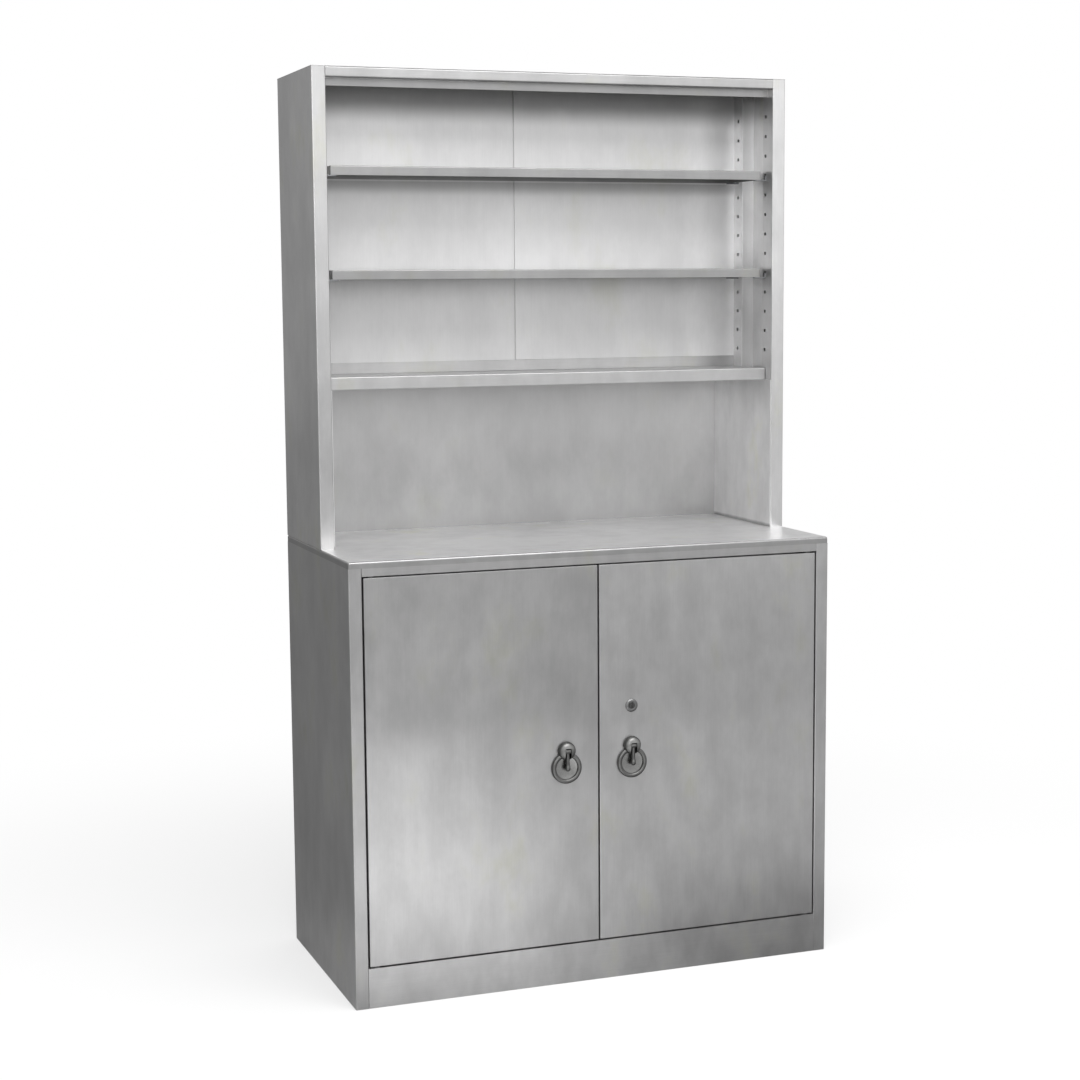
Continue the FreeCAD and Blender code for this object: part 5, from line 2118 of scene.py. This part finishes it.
@dataclass(frozen=True)
class Patch:
    """An oval patch of the floor painted paler or dimmer than the rest, seen in the steel: painted
    light where paler, painted shade where dimmer.

    Attributes:
        spot: Its middle in X and Y, in metres.
        reach: Its size along X and Y, which counts as a distance of 1.
        rim: The distances between which it fades.
        tones: How pale the floor is inside it and outside.
        any_height: A size along Z so large that height does not count.
    """

    spot: tuple[float, float]
    reach: tuple[float, float]
    rim: tuple[float, float]
    tones: tuple[float, float]
    any_height: ClassVar[float] = 1e6

    def tone(self, graph: Graph, place: Socket) -> Socket:
        """How pale the floor is, by a point's distance from the spot in reaches.

        Args:
            graph: The floor's material.
            place: Object coordinates.

        Returns:
            A number, the inner tone within the rim and the outer one past it.
        """
        shift = graph.vector("SUBTRACT", {0: place, 1: (*self.spot, 0.0)})[0]
        share = graph.vector("DIVIDE", {0: shift, 1: (*self.reach, self.any_height)})[0]
        return graph.between(graph.vector("LENGTH", {0: share})[1], self.rim, self.tones)


@dataclass(frozen=True)
class Studio:
    """Floor, pale surroundings, lamps and the camera of the photograph.

    Attributes:
        focal: Focal length as a share of the picture's width.
        frame: Width of the camera's frame in millimetres.
        eye: The camera's place in metres.
        pitch: Degrees that it looks down.
        yaw: Degrees that it looks to the right of straight on.
        roll: Degrees that it leans.
        fill: Strength of the surroundings' light.
        pale: A painted pool of light on the floor before the left door, palest in the steel.
        dim: Painted shade on the floor close in front at the right.
        lamps: The lamps.
    """

    focal: float = 2068.0 / 1080.0
    frame: float = 36.0
    eye: tuple[float, float, float] = (-1.482, -3.9205, 1.363)
    pitch: float = 6.95
    yaw: float = 20.27
    roll: float = -0.44
    fill: float = 0.85
    pale: Patch = Patch((-0.35, -1.5), (0.75, 1.3), (0.55, 1.1), (1.0, 0.38))
    dim: Patch = Patch((0.6, -0.3), (0.6, 0.55), (0.3, 1.3), (0.27, 1.0))
    lamps: tuple[Lamp, ...] = (
        Lamp("front_window", (1.9, -4.9, 2.35), (0.6, 0.0, 2.2), (3.8, 2.3), 15.0),
        Lamp("lamp_by_camera", (-1.9, -4.7, 1.95), (0.4, 0.1, 1.5), (1.8, 1.2), 22.0),
        Lamp("ceiling_panel", (0.1, -1.7, 3.3), (0.0, -0.6, 0.0), (2.6, 1.8), 60.0),
    )

    def camera(self) -> None:
        """Set the camera to the photograph's viewpoint.

        Its three axes are the way it looks, the level line to its right and their cross
        product, the last two turned by the roll.
        """
        pitch, yaw, roll = (math.radians(lean) for lean in (self.pitch, self.yaw, self.roll))
        look = Vector((math.sin(yaw) * math.cos(pitch), math.cos(yaw) * math.cos(pitch),
                       -math.sin(pitch)))
        level = Vector((math.cos(yaw), -math.sin(yaw), 0.0))
        up = level.cross(look)
        right = level * math.cos(roll) + up * math.sin(roll)
        top = up * math.cos(roll) - level * math.sin(roll)
        data = bpy.data.cameras.new("photo_camera")
        data.lens = self.focal * self.frame
        data.sensor_width = self.frame
        data.clip_end = 100.0
        camera = new_object("photo_camera", data)
        turn = Matrix((right, top, -look)).transposed()
        camera.matrix_world = Matrix.Translation(self.eye) @ turn.to_4x4()
        bpy.context.scene.camera = camera

    def surroundings(self) -> None:
        """White to the camera, pale and graded to metal, and an even fill for the rest.

        To metal the room is white on the camera's side, dims towards the far side and is
        paler overhead.
        """
        world = bpy.data.worlds.new("pale_room")
        bpy.context.scene.world = world
        graph = Graph(world)
        rays = graph.node("ShaderNodeLightPath").outputs
        toward = graph.parts(graph.node("ShaderNodeTexCoord").outputs["Generated"])
        depth = graph.between(toward[1], (-0.55, 0.65), (0.88, 0.31))
        lift = graph.between(toward[2], (0.05, 0.7), (0.0, 0.6))
        level = graph.math("MULTIPLY_ADD", graph.math("SUBTRACT", 1.0, depth), lift, depth)
        shiny = graph.math("ADD", rays["Is Glossy Ray"], rays["Is Transmission Ray"])
        white, room, fill = (graph.white("ShaderNodeBackground", strength)
                             for strength in (1.0, level, self.fill))
        lit = graph.either(shiny, fill, room)
        graph.node("ShaderNodeOutputWorld",
                   {"Surface": graph.either(rays["Is Camera Ray"], lit, white)})

    def floor(self) -> None:
        """A pale floor that keeps the cabinet's shadow and fades to white farther out.

        Its rings lie at the square of their number's share of the whole, so they are dense
        under the cabinet.
        """
        spokes, rings, extent, level = 64, 40, 14000.0, -0.2
        turn = np.linspace(0.0, 2 * math.pi, spokes, endpoint=False)
        reach = extent * (np.linspace(0.02, 1.0, rings) ** 2)
        grid = np.stack([
            reach[:, None] * np.cos(turn), reach[:, None] * np.sin(turn),
            np.full((rings, spokes), level),
        ], -1)
        mesh = mesh_of("pale_floor", capped(grid, {0: np.array([0.0, 0.0, level])}))
        new_object("pale_floor", mesh)
        material = bpy.data.materials.new("pale_floor")
        graph = Graph(material)
        place = graph.own_place()
        rays = graph.node("ShaderNodeLightPath").outputs
        ground, lit = (
            graph.node("ShaderNodeBsdfDiffuse", {"Color": colour}).outputs[0]
            for colour in (self.ground(graph, place), shade(0.9))
        )
        glow = graph.white("ShaderNodeEmission", 1.0)
        away = graph.vector("LENGTH", {0: place})[1]
        pale = graph.either(graph.between(away, (0.7, 2.4), (0.5, 1.0)), lit, glow)
        seen = graph.math("ADD", rays["Is Camera Ray"], rays["Is Transmission Ray"])
        graph.node("ShaderNodeOutputMaterial", {"Surface": graph.either(seen, ground, pale)})
        mesh.materials.append(material)

    def ground(self, graph: Graph, place: Socket) -> Socket:
        """How pale the floor looks in the steel.

        It has a painted pool of light in front of the left door, falling off smoothly from
        there, and painted shade close in front at the right and behind the cabinet.

        Args:
            graph: The floor's material.
            place: Object coordinates.

        Returns:
            The floor's colour, a grey.
        """
        # Painted shade behind the cabinet, times the painted pool of light and the painted shade
        # in front.
        behind = graph.between(graph.parts(place)[1], (-0.2, 0.6), (1.0, 0.52))
        front = graph.math("MULTIPLY", self.pale.tone(graph, place), self.dim.tone(graph, place))
        tone = graph.math("MULTIPLY", front, behind)
        return graph.node("ShaderNodeCombineXYZ", {0: tone, 1: tone, 2: tone}).outputs[0]

    def build(self) -> None:
        """Set up the camera, the surroundings, the floor and the lamps."""
        bpy.context.scene.view_settings.view_transform = "Standard"
        self.camera()
        self.surroundings()
        self.floor()
        for lamp in self.lamps:
            lamp.hang()


def main() -> None:
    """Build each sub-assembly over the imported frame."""
    logging.basicConfig(level=logging.INFO, format="%(name)s: %(message)s")
    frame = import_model()
    shop = Shop(frame)
    Studio().build()
    for part in (BaseCarcass(), Worktop(), HutchCarcass(), Shelving(), Door(Side.LEFT),
                 Door(Side.RIGHT), SlideBolts(), Pull(Side.LEFT), Pull(Side.RIGHT), Lock(),
                 Fittings()):
        LOG.info("building %s", type(part).__name__)
        part.build(shop)


if __name__ == "__main__":
    main()
